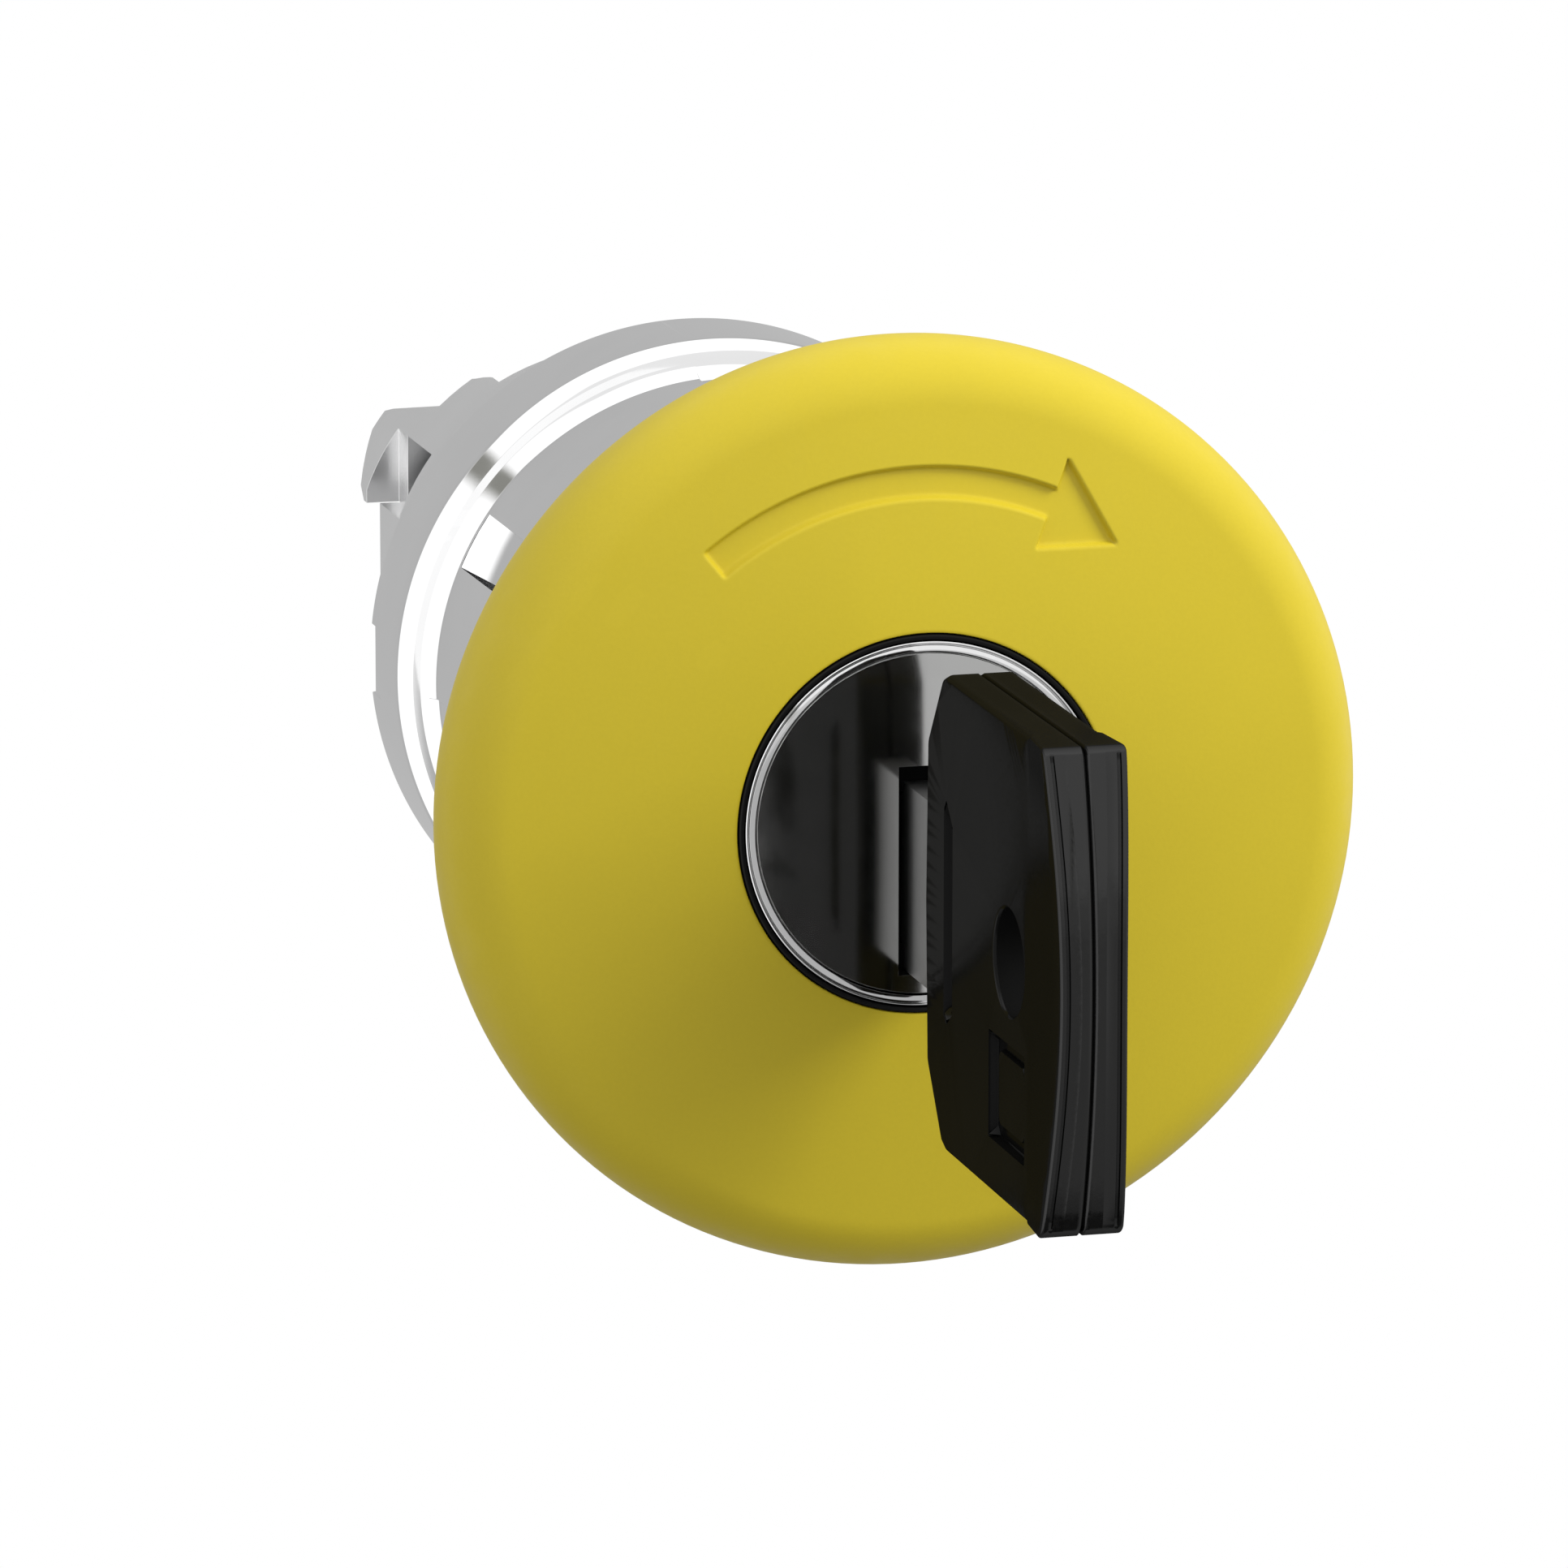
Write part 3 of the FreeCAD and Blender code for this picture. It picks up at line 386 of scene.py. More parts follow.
def make_piece(name, verts, faces, material, body, node, slot):
    """A finished piece that rides on a body and stands in for a CAD node."""
    ob = raw_object(name, verts, faces)
    ob.data.validate()
    ob.data.update()
    set_finish(ob, material)
    with editing(ob.data) as bm:
        bmesh.ops.recalc_face_normals(bm, faces=bm.faces)
        if bm.calc_volume(signed=True) < 0:
            bmesh.ops.reverse_faces(bm, faces=bm.faces)
    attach(ob, body)
    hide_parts(node)
    return ob


def round_path(points, closed=True, segments=5):
    """Turns the corners of a path of (a, b, corner radius) into arcs. Open ends stay sharp."""
    out = []
    count = len(points)
    for i in range(count):
        corner = np.array(points[i][:2], float)
        radius = points[i][2]
        if radius <= 0 or (not closed and i in (0, count - 1)):
            out.append(tuple(corner))
            continue
        back = np.array(points[(i - 1) % count][:2], float) - corner
        ahead = np.array(points[(i + 1) % count][:2], float) - corner
        back_len, ahead_len = np.linalg.norm(back), np.linalg.norm(ahead)
        back, ahead = back / back_len, ahead / ahead_len
        angle = math.acos(max(-1, min(1, float(back @ ahead))))
        if angle > math.pi - 0.02:
            out.append(tuple(corner))
            continue
        trim = min(radius / math.tan(angle / 2), 0.48 * back_len, 0.48 * ahead_len)
        radius = trim * math.tan(angle / 2)
        bisector = (back + ahead) / np.linalg.norm(back + ahead)
        centre = corner + bisector * (radius / math.sin(angle / 2))
        start = math.atan2(*(corner + back * trim - centre)[::-1])
        end = math.atan2(*(corner + ahead * trim - centre)[::-1])
        sweep = (end - start + math.pi) % (2 * math.pi) - math.pi
        for k in range(segments + 1):
            turn = start + sweep * k / segments
            out.append((centre[0] + radius * math.cos(turn), centre[1] + radius * math.sin(turn)))
    return out


def densify(path, step):
    """Splits the sides of a closed path so that they come near to step in length."""
    out = []
    for i in range(len(path)):
        a, b = np.array(path[i]), np.array(path[(i + 1) % len(path)])
        parts = max(1, int(np.linalg.norm(b - a) / step))
        for j in range(parts):
            out.append(tuple(a + (b - a) * j / parts))
    return out


def polar(angle, radius):
    """(x, z) at an angle in degrees from +X towards +Z."""
    return radius * math.cos(math.radians(angle)), radius * math.sin(math.radians(angle))


def join_rings(rings_a, rings_b):
    """Quads between two closed rings of vertex numbers."""
    count = len(rings_a)
    return [(rings_a[i], rings_a[(i + 1) % count], rings_b[(i + 1) % count], rings_b[i])
            for i in range(count)]


def lathe(path, angles, shape=None):
    """Turns a closed (y, radius) path about Y through angles in degrees.

    shape(y, radius, angle) may return a new (y, radius).
    """
    verts, faces = [], []
    size = len(path)
    for angle in angles:
        for y, radius in path:
            if shape:
                y, radius = shape(y, radius, angle)
            x, z = polar(angle, radius)
            verts.append((x, y, z))
    for i in range(len(angles)):
        here, there = i * size, (i + 1) % len(angles) * size
        faces += join_rings(range(here, here + size), range(there, there + size))
    return verts, faces


def add_weighted_normals(ob):
    modifier = ob.modifiers.new("normals", "WEIGHTED_NORMAL")
    modifier.keep_sharp = True
    modifier.weight = 100


def add_bevel(ob, width, angle, segments):
    bevel = ob.modifiers.new("edge", "BEVEL")
    bevel.width = width * MM
    bevel.segments = segments
    bevel.limit_method = "ANGLE"
    bevel.angle_limit = math.radians(angle)
    bevel.harden_normals = True
    return bevel


def even_angles(count):
    return [360.0 * i / count for i in range(count)]


def smooth_step(value, centre, width):
    t = max(0.0, min(1.0, (value - centre) / width + 0.5))
    return t * t * (3 - 2 * t)


# ======================================================================= CAD nodes that stay
# node: material, bevel width in mm (0 for none), least bevelled angle in degrees
KEPT = {
    "lock_plug": ("plug", 0.05, 35),
    "lock_barrel": ("diecast", 0.08, 35),
    "wafer_tumblers": ("brass", 0.03, 35),
    "wafer_springs": ("wire", 0, 0),
    "latch_cam": ("zinc", 0.06, 35),
    "cam_screw": ("zinc", 0.06, 35),
    "key_blade": ("steel", 0.05, 30),
    "panel_gasket": ("rubber", 0.08, 35),
    "guide_sleeve": ("grey_pa", 0.08, 35),
    "stem_wiper_seal": ("rubber", 0.05, 35),
    "latch_ring": ("wire", 0.03, 40),
    "carrier_stem": ("black_pa", 0.10, 35),
    "carrier_base": ("black_pa", 0.10, 35),
    "base_pins": ("zinc", 0.06, 35),
    "latch_pin_left": ("zinc", 0.08, 35),
    "latch_pin_right": ("zinc", 0.08, 35),
    "cap_screws": ("zinc", 0.07, 35),
    "return_spring": ("wire", 0, 0),
    "spring_seat": ("black_pa", 0.10, 35),
    "retaining_ring": ("zinc", 0.05, 35),
    "contact_pusher": ("grey_pa", 0.16, 30),
    "pusher_screw": ("zinc", 0.10, 35),
}


def dress(node, material, width, angle):
    """Gives a CAD node its material, merges its flat facets and rounds its edges."""
    ob = NODES[node]
    weld = ob.modifiers.new("weld", "WELD")
    weld.merge_threshold = 2e-6
    set_finish(ob, material)
    if width > 0:
        flat = ob.modifiers.new("flat", "DECIMATE")
        flat.decimate_type = "DISSOLVE"
        flat.angle_limit = math.radians(0.6)
        flat.delimit = set()
        add_bevel(ob, width, angle, segments=3).use_clamp_overlap = True
        add_weighted_normals(ob)


for node, treatment in KEPT.items():
    dress(node, *treatment)

# ======================================================================= mushroom shell
CAP_R = 20.0
RIM_Y = -35.5           # where the shell is widest
RIM_FILLET = 3.1        # between the dome and the rim
DOME_R = 88.0
CAP_BORE_R = 8.12       # round the lock
RIM_TURN, RIM_DEPTH, RIM_DROP = 66, 1.95, 1.27      # elliptical turn behind the rim

fillet_r = CAP_R - RIM_FILLET                       # radius of the fillet's centre
slope = math.asin(fillet_r / (DOME_R - RIM_FILLET))
tangent_r = fillet_r + RIM_FILLET * math.sin(slope)
tangent_depth = RIM_FILLET * math.cos(slope)


def dome_y(r):
    sag = math.sqrt(DOME_R ** 2 - r ** 2) - math.sqrt(DOME_R ** 2 - tangent_r ** 2)
    return RIM_Y - tangent_depth - sag


# (y, radius) from the bore over the dome
CAP_LIP = [
    (dome_y(CAP_BORE_R) + 0.30, CAP_BORE_R), (dome_y(CAP_BORE_R) + 0.06, 8.122),
    (dome_y(8.13) + 0.02, 8.14), (dome_y(8.17), 8.17), (dome_y(8.28), 8.28),
]
# (y, radius) of the outside behind the rim, to the rear edge
CAP_REAR = [
    (-33.4, 19.10), (-30.0, 17.72), (-27.0, 16.50), (-24.7, 15.57), (-23.55, 15.10),
    (-22.9, 15.02), (-22.6, 14.70), (-22.6, 14.0), (-23.0, 13.42),
]
# (y, radius) of the inside, forwards and back in to the bore
CAP_INSIDE = [
    (-25, 13.4), (-30, 13.4), (-35.9, 13.4), (-36.4, 13.2), (-36.6, 12.8), (-36.6, 9.0),
    (-36.6, 8.3), (-36.8, CAP_BORE_R),
]

# curved arrow sunk into the dome
MARK_R, MARK_HALF_WIDTH = 14.35, 0.60
MARK_START, MARK_END = 65.0, 128.0                  # degrees
MARK_DEPTH, MARK_GROWTH, MARK_EDGE = 0.34, 0.02, 0.16
ARROW_HEAD = [polar(66.5, 12.45), polar(66.5, 16.25), polar(53.5, 14.15)]


def segment_distance(x, z, ax, az, bx, bz):
    dx, dz = bx - ax, bz - az
    t = max(0.0, min(1.0, ((x - ax) * dx + (z - az) * dz) / (dx * dx + dz * dz)))
    return math.hypot(x - ax - dx * t, z - az - dz * t)


def polygon_distance(x, z, polygon):
    """Distance to a polygon's outline, negative inside."""
    inside = False
    nearest = 1e9
    for i, (ax, az) in enumerate(polygon):
        bx, bz = polygon[(i + 1) % len(polygon)]
        nearest = min(nearest, segment_distance(x, z, ax, az, bx, bz))
        if (az > z) != (bz > z) and x < (bx - ax) * (z - az) / (bz - az) + ax:
            inside = not inside
    return -nearest if inside else nearest


def mark_depth(x, z):
    r = math.hypot(x, z)
    angle = math.degrees(math.atan2(z, x))
    if not (12.0 < r < 16.8 and 50 < angle < 132):
        return 0.0
    across = abs(r - MARK_R) - MARK_HALF_WIDTH
    along = max(MARK_START - angle, angle - MARK_END) * math.radians(1) * r
    band = max(across, along) if (across < 0 or along < 0) else math.hypot(across, along)
    distance = min(band, polygon_distance(x, z, ARROW_HEAD)) - MARK_GROWTH
    return MARK_DEPTH * smooth_step(-distance, 0.0, MARK_EDGE)


def sink_mark(y, r, angle):
    if y < -37.5 and 12.0 < r < 16.9:
        return y + mark_depth(*polar(angle % 360.0, r)), r
    return y, r


def cap_profile():
    # the dome is finely stepped where the mark lies
    radii = [*np.arange(8.42, 12.0, 0.30), *np.arange(12.0, 16.8, 0.085)]
    radii += [16.8, 17.0, 17.2, 17.35]
    path = CAP_LIP + [(dome_y(r), r) for r in radii]
    for i in range(25):
        turn = (math.pi / 2 - slope) * (1 - i / 24.0)
        path.append((RIM_Y - RIM_FILLET * math.sin(turn), fillet_r + RIM_FILLET * math.cos(turn)))
    for i in range(1, 15):
        turn = math.radians(RIM_TURN * (i / 14.0))
        path.append((RIM_Y + RIM_DEPTH * math.sin(turn), CAP_R - RIM_DROP * (1 - math.cos(turn))))
    return path + CAP_REAR + CAP_INSIDE


# coarse steps round the plain part, fine ones across the mark
cap_angles = [*np.arange(132.5, 410.0, 2.0), *np.arange(410.0, 492.5, 0.33)]
make_piece("mushroom_shell", *lathe(cap_profile(), cap_angles, sink_mark),
           "yellow", "head", "mushroom_cap", "yellow_plastic")

# ======================================================================= lock rings
# (y, radius, corner radius)
SEAL = [
    (-39.86, 7.83, 0.05), (-40.00, 7.86, 0.06), (-40.02, 8.05, 0.08), (-39.80, 8.10, 0.05),
    (-36.62, 8.10, 0.05), (-36.62, 7.83, 0.05),
]
FERRULE = [
    (-38.60, 7.36, 0.02), (-39.90, 7.36, 0.012), (-39.86, 7.60, 0.02), (-39.80, 7.63, 0.01),
    (-39.865, 7.66, 0.02), (-39.97, 7.685, 0.04), (-39.955, 7.80, 0.07), (-36.66, 7.80, 0.03),
    (-36.66, 7.49, 0.03), (-38.52, 7.49, 0.02), (-38.52, 7.40, 0.02),
]


def lock_ring(name, profile, steps, material, node, slot):
    verts, faces = lathe(round_path(profile, segments=6), even_angles(steps))
    add_weighted_normals(make_piece(name, verts, faces, material, "head", node, slot))


lock_ring("lock_seal_band", SEAL, 256, "seal", "lock_seal_ring", "black_rubber")
lock_ring("lock_ferrule", FERRULE, 320, "chrome", "lock_trim_ring", "chrome_plate")

# ======================================================================= key grip
MID_Z, HALF_HEIGHT = -1.95, 10.05
TOP, BOTTOM = MID_Z + HALF_HEIGHT, MID_Z - HALF_HEIGHT
HALF_THICK = 1.50                       # of the flat rear part
FRONT_HALF_MID, FRONT_HALF_END = 1.396, 1.93    # at the front, at mid height and at the ends
RIDGE_Y, FRONT_Y = -60.1, -64.7         # start of the flared front part, and its end
FRONT_BOW = 0.0151                      # curvature of the front end, per mm
JOINT_X = 0.01                          # each half's joint face stands off the middle
FLAT_BEVEL, FLARE_BEVEL = 0.30, 0.12

# (y, z, corner radius) of the rear end, from top to bottom
GRIP_REAR = [
    (-48.25, TOP, 0.35), (-47.55, 7.84, 0.3), (-45.35, 4.87, 0.8), (-45.08, MID_Z, 0.0),
    (-45.35, -8.77, 0.8), (-47.55, -11.74, 0.3), (-48.25, BOTTOM, 0.35),
]
# rings of the end wall: (distance in x from the bevel, depth on the front end face)
FRAME_ROWS = [
    (0.10, 0.0), (0.135, 0.0), (0.165, 0.10), (0.285, 0.10), (0.315, 0.025), (0.34, 0.02),
    (0.74, 0.02), (0.78, 0.0), (0.81, 0.0),
]
# rings of the seam groove: (x, depth)
SEAM_ROWS = [(0.30, 0.0), (0.13, 0.0), (0.105, 0.02), (0.075, 0.06), (JOINT_X, 0.16)]
SEAM_FRONT_SHARE = 0.75                 # the seam is shallower on the front end face

HOLE_CENTRE, HOLE_R, HOLE_ROUND = (-57.55, -1.85), 2.2, 0.16
# (y, z, corner radius) on the flat side
GROOVE = [
    (-49.3, -5.95, 0.08), (-48.45, -6.55, 0.08), (-48.0, -6.2, 0.08),
    (-48.0, 2.45, 0.08), (-48.35, 2.9, 0.08), (-49.3, 1.95, 0.08),
]
RECESS = [(-59.95, -9.72, 0.10), (-54.75, -9.72, 0.10), (-54.75, -5.22, 0.10), (-59.95, -5.22, 0.10)]
# plain raised pad in the recess
PAD = [(-59.3, -9.1, 0.5), (-55.4, -9.1, 0.5), (-55.4, -5.85, 0.5), (-59.3, -5.85, 0.5)]
# outline and its rings, as (inset, depth below the flat side)
RELIEFS = [
    (GROOVE, [(0.0, 0.0), (0.09, 0.24), (0.16, 0.32)]),
    (RECESS, [(0.0, 0.0), (0.06, 0.34), (0.12, 0.40)]),
    (PAD, [(0.0, 0.40), (0.10, 0.22)]),
]


def half_thickness(y, z):
    """Flat at the back; flared towards the front, with a side dished along z."""
    if y >= RIDGE_Y:
        return HALF_THICK
    along = (RIDGE_Y - y) / (RIDGE_Y - (FRONT_Y - 0.2))
    off_mid = min(1.0, abs(z - MID_Z) / (HALF_HEIGHT + 0.5))
    front_half = FRONT_HALF_MID + (FRONT_HALF_END - FRONT_HALF_MID) * off_mid * off_mid
    return HALF_THICK + (front_half - HALF_THICK) * along


def front_y(z):
    return FRONT_Y + FRONT_BOW * (z - MID_Z) ** 2


def front_corner(points):
    return round_path(points, closed=False, segments=8)[1:-1]


def grip_outline():
    """Closed (y, z) outline: rear end, bottom, bowed front, top."""
    points = round_path(GRIP_REAR, closed=False)
    points += front_corner([(-48.3, BOTTOM, 0), (front_y(BOTTOM), BOTTOM, 0.75),
                            (front_y(BOTTOM + 3), BOTTOM + 3, 0)])
    points += [(front_y(z), z) for z in np.linspace(BOTTOM + 1.0, TOP - 0.7, 60)]
    points += front_corner([(front_y(TOP - 3), TOP - 3, 0), (front_y(TOP), TOP, 0.45),
                            (-48.3, TOP, 0)])
    points = densify(points, 0.22)
    clean = [points[0]]
    for y, z in points[1:]:
        if math.hypot(y - clean[-1][0], z - clean[-1][1]) > 0.035:
            clean.append((y, z))
    return np.array(clean)


def inset(loop, distance):
    """Loop moved inwards by one distance, or by one for each point."""
    after = np.roll(loop, -1, 0)
    tangent = after - np.roll(loop, 1, 0)
    tangent /= np.linalg.norm(tangent, axis=1)[:, None]
    normal = np.stack([-tangent[:, 1], tangent[:, 0]], 1)
    if np.sum(loop[:, 0] * after[:, 1] - after[:, 0] * loop[:, 1]) < 0:
        normal = -normal
    return loop + normal * np.reshape(distance, (-1, 1))


def hole_loop(widening=0.0, steps=72):
    radius = HOLE_R + widening
    turns = [2 * math.pi * i / steps for i in range(steps)]
    return np.array([(HOLE_CENTRE[0] + radius * math.cos(turn),
                      HOLE_CENTRE[1] + radius * math.sin(turn)) for turn in turns])


def inside_loop(loop, points):
    """Even-odd test of many points at once."""
    result = np.zeros(len(points), bool)
    for i in range(len(loop)):
        a, b = loop[i], loop[(i + 1) % len(loop)]
        spans = (a[1] > points[:, 1]) != (b[1] > points[:, 1])
        # level edges divide by zero, but span nothing
        with np.errstate(divide="ignore", invalid="ignore"):
            crossing = (b[0] - a[0]) * (points[:, 1] - a[1]) / (b[1] - a[1]) + a[0]
        result ^= spans & (points[:, 0] < crossing)
    return result


def triangulate(loops, hole, extra=()):
    """Constrained triangulation inside loops[0] and outside the hole.

    The other loops are only edges to keep. Returns the points, the triangles and, for each
    loop and last the hole, the numbers of its points.
    """
    points, edges, numbers = [], [], []
    for loop in (*loops, hole):
        start, count = len(points), len(loop)
        points.extend([Vector((float(y), float(z))) for y, z in loop])
        edges.extend([(start + i, start + (i + 1) % count) for i in range(count)])
        numbers.append(range(start, start + count))
    points.extend([Vector((float(y), float(z))) for y, z in extra])
    result = delaunay_2d_cdt(points, edges, [], 0, 1e-7)
    triangles, origins = result[2], result[3]
    flat = np.array([(p[0], p[1]) for p in result[0]])
    centres = np.array([flat[list(t)].mean(0) for t in triangles])
    keep = inside_loop(loops[0], centres) & ~inside_loop(hole, centres)
    kept = [tuple(t) for t, wanted in zip(triangles, keep) if wanted]
    output_of = {source: i for i, sources in enumerate(origins) for source in sources}
    return flat, kept, [[output_of[i] for i in group] for group in numbers]


OUTLINE = grip_outline()


def grip_half(name, side, node):
    """One moulded half: rings round the outline, with triangulated outer and joint faces."""
    verts, faces = [], []

    def put(loop, xs):
        start = len(verts)
        for (y, z), x in zip(loop, np.broadcast_to(xs, (len(loop),))):
            verts.append((side * x, y, z))
        return list(range(start, len(verts)))

    def extend(ring, loop, xs):
        new_ring = put(loop, xs)
        faces.extend(join_rings(ring, new_ring))
        return new_ring

    def fill(points, triangles, known, x_at):
        """Adds a triangulated face; known maps its points to vertices already there."""
        for i, (y, z) in enumerate(points):
            if i not in known:
                known[i] = len(verts)
                verts.append((side * x_at(i, y, z), y, z))
        faces.extend(tuple(known[i] for i in t) for t in triangles)

    # bevel, from the flat side to the end wall
    half = np.array([half_thickness(y, z) for y, z in OUTLINE])
    bevel = np.where(OUTLINE[:, 0] > RIDGE_Y - 0.3, FLAT_BEVEL, FLARE_BEVEL)
    face_loop = inset(OUTLINE, bevel)
    face_ring = ring = put(face_loop, half)
    for i in range(1, 5):
        turn = math.pi / 2 * i / 4
        ring = extend(ring, inset(OUTLINE, bevel * (1 - math.sin(turn))),
                      half - bevel * (1 - math.cos(turn)))

    # end wall down to the joint, with thin frame lines on the front end face
    inward_y = (inset(OUTLINE, 1.0) - OUTLINE)[:, 0]
    on_front = np.clip((inward_y - 0.90) / 0.06, 0, 1) * (OUTLINE[:, 0] < -60)
    for from_bevel, depth in FRAME_ROWS:
        ring = extend(ring, inset(OUTLINE, depth * on_front), half - bevel - from_bevel)
    for x, depth in SEAM_ROWS:
        seam_loop = inset(OUTLINE, np.where(on_front > 0.5, depth * SEAM_FRONT_SHARE, depth))
        ring = extend(ring, seam_loop, x)
    seam_ring = ring

    # outer side with its reliefs; extra points carry the flare
    loops, depths = [face_loop], [0.0]
    for corners, steps in RELIEFS:
        outline = np.array(densify(round_path(corners, segments=4), 0.35))
        for distance, depth in steps:
            loops.append(inset(outline, distance) if distance else outline)
            depths.append(depth)
    extra = [(y, z) for y in np.arange(-64.2, -60.2, 0.45)
             for z in np.arange(BOTTOM + 0.8, TOP - 0.6, 0.55) if y > front_y(z) + 0.55]
    extra += [(RIDGE_Y, z) for z in np.arange(BOTTOM + 0.5, TOP - 0.4, 0.5)]
    points, triangles, groups = triangulate(loops, hole_loop(HOLE_ROUND), extra)
    depth_of = {i: depth for group, depth in zip(groups, depths) for i in group}
    known = dict(zip(groups[0], face_ring))
    fill(points, triangles, known, lambda i, y, z: half_thickness(y, z) - depth_of.get(i, 0.0))

    # hole wall
    ring = [known[i] for i in groups[-1]]
    for i in range(1, 5):
        turn = math.pi / 2 * i / 4
        ring = extend(ring, hole_loop(HOLE_ROUND * (1 - math.sin(turn))),
                      HALF_THICK - HOLE_ROUND * (1 - math.cos(turn)))
    ring = extend(ring, hole_loop(), JOINT_X)

    # joint face
    points, triangles, groups = triangulate([seam_loop], hole_loop())
    known = dict(zip(groups[0], seam_ring))
    known.update(zip(groups[1], ring))
    fill(points, triangles, known, lambda i, y, z: JOINT_X)

    ob = make_piece(name, verts, faces, "key_black", "key", node, "key_plastic")
    # sharp where a side meets anything else, and at every steep fold
    with editing(ob.data) as bm:
        for edge in bm.edges:
            if len(edge.link_faces) == 2:
                a, b = [abs(face.normal.x) > 0.93 for face in edge.link_faces]
                if a != b or edge.calc_face_angle() > math.radians(38):
                    edge.smooth = False
    add_weighted_normals(ob)


grip_half("key_grip_left", -1, "key_bow_left")
grip_half("key_grip_right", 1, "key_bow_right")

# ======================================================================= bezel
NECK_Y, NECK_R = -24.6, 12.40           # front end of the tapered neck
COVE_Y, COVE_NECK_R = -7.2, 13.10       # where the neck runs into the cove
COVE_CENTRE_R = 14.10                   # the cove has a radius of 1
CREST_Y, CREST_CENTRE_R, CREST_R = -5.38, 13.88, 0.87
FLANGE_R = 14.75
INNER_R = 10.95
STEP_ANGLES = (95.0, 183.1)             # between these the neck stands proud, in degrees
STEP_WIDTH, STEP_HEIGHT = 0.10, 0.10

NECK_SHARES = (0.1, 0.2, 0.3, 0.4, 0.5, 0.6, 0.7, 0.8, 0.88, 0.94, 0.97, 0.985, 0.995, 1.0)
# (y, radius, corner radius)
NECK_FRONT = [
    (-25.0, INNER_R, 0.12), (-25.0, 12.0, 0.25), (NECK_Y, NECK_R, 0.30),
    (COVE_Y, COVE_NECK_R, 0.0),
]
FLANGE_AND_BORE = [
    (-1.2, FLANGE_R, 0.0), (-0.20, FLANGE_R, 0.22), (-0.20, 13.50, 0.06), (-1.20, 13.50, 0.03),
    (-1.20, 10.85, 0.03), (2.0, 10.85, 0.0), (2.0, 8.60, 0.0), (-1.5, 8.60, 0.05),
    (-1.5, 9.62, 0.05), (-8.05, 9.62, 0.05), (-8.05, INNER_R, 0.05), (-12.0, INNER_R, 0.0),
]


def bezel_profile():
    path = [(-24.0, INNER_R)] + round_path(NECK_FRONT, closed=False, segments=6)[1:-1]
    path += [(NECK_Y + (COVE_Y - NECK_Y) * k, NECK_R + (COVE_NECK_R - NECK_R) * k)
             for k in NECK_SHARES]
    for degrees in np.linspace(2, 74, 20):
        turn = math.radians(degrees)
        path.append((COVE_Y + math.sin(turn), COVE_CENTRE_R - math.cos(turn)))
    for degrees in np.linspace(73, 0, 18):
        turn = math.radians(degrees)
        path.append((CREST_Y - CREST_R * math.sin(turn),
                     CREST_CENTRE_R + CREST_R * math.cos(turn)))
    path += [(y, FLANGE_R) for y in (-4.0, -2.5, -1.2)]
    path += round_path(FLANGE_AND_BORE, closed=False, segments=4)[1:]
    return path + [(-16.0, INNER_R), (-20.0, INNER_R)]


def bezel_angles():
    """Whole degrees, with close angles round each step so that it stays crisp."""
    close = [mark + gap for mark in STEP_ANGLES for gap in (-0.30, -0.12, -0.05, 0.05, 0.12, 0.30)]
    spread = [float(i) for i in range(360) if min(abs(i - angle) for angle in close) > 0.35]
    return sorted(set(spread + close))


def raise_neck(y, r, angle):
    """Raises the neck between the two steps, fading out along the cove."""
    start, end = STEP_ANGLES
    if not (-24.55 < y < -6.23 and 12.0 < r < 13.83 and start - 0.2 <= angle <= end + 0.2):
        return y, r
    share = smooth_step(angle, start, STEP_WIDTH) * (1 - smooth_step(angle, end, STEP_WIDTH))
    if y <= -7.19:
        return y, r + STEP_HEIGHT * share
    # a smaller cove with its centre moved
    turn = math.atan2(y - COVE_Y, COVE_CENTRE_R - r)
    radius = 1 - 0.13 * share
    return (COVE_Y + 0.125 * share + radius * math.sin(turn),
            COVE_CENTRE_R - 0.036 * share - radius * math.cos(turn))


def box(name, x0, x1, y0, y1, z0, z1):
    verts = [(x, y, z) for x in (x0, x1) for y in (y0, y1) for z in (z0, z1)]
    faces = [(0, 1, 3, 2), (4, 6, 7, 5), (0, 4, 5, 1), (2, 3, 7, 6), (0, 2, 6, 4), (1, 5, 7, 3)]
    return solid(name, verts, faces)


# pocket in the neck: (y, radius) section, turned from the start to the end angle in degrees
POCKET = [(-6.95, 15.4), (-6.95, 13.16), (-9.95, 11.5), (-26.0, 11.5), (-26.0, 15.4)]
POCKET_START, POCKET_END, POCKET_STEPS = 145.0, 156.6, 3


def neck_pocket():
    start, end = math.radians(POCKET_START), math.radians(POCKET_END)
    size = len(POCKET)
    verts, faces = [], []
    for k in range(POCKET_STEPS + 1):
        turn = start + (end - start) * k / POCKET_STEPS
        verts += [(r * math.cos(turn), y, r * math.sin(turn)) for y, r in POCKET]
    rings = [range(k * size, (k + 1) * size) for k in range(POCKET_STEPS + 1)]
    for here, there in zip(rings, rings[1:]):
        faces += join_rings(here, there)
    faces += [tuple(rings[0]), tuple(rings[-1][::-1])]
    return solid("pocket", verts, faces)


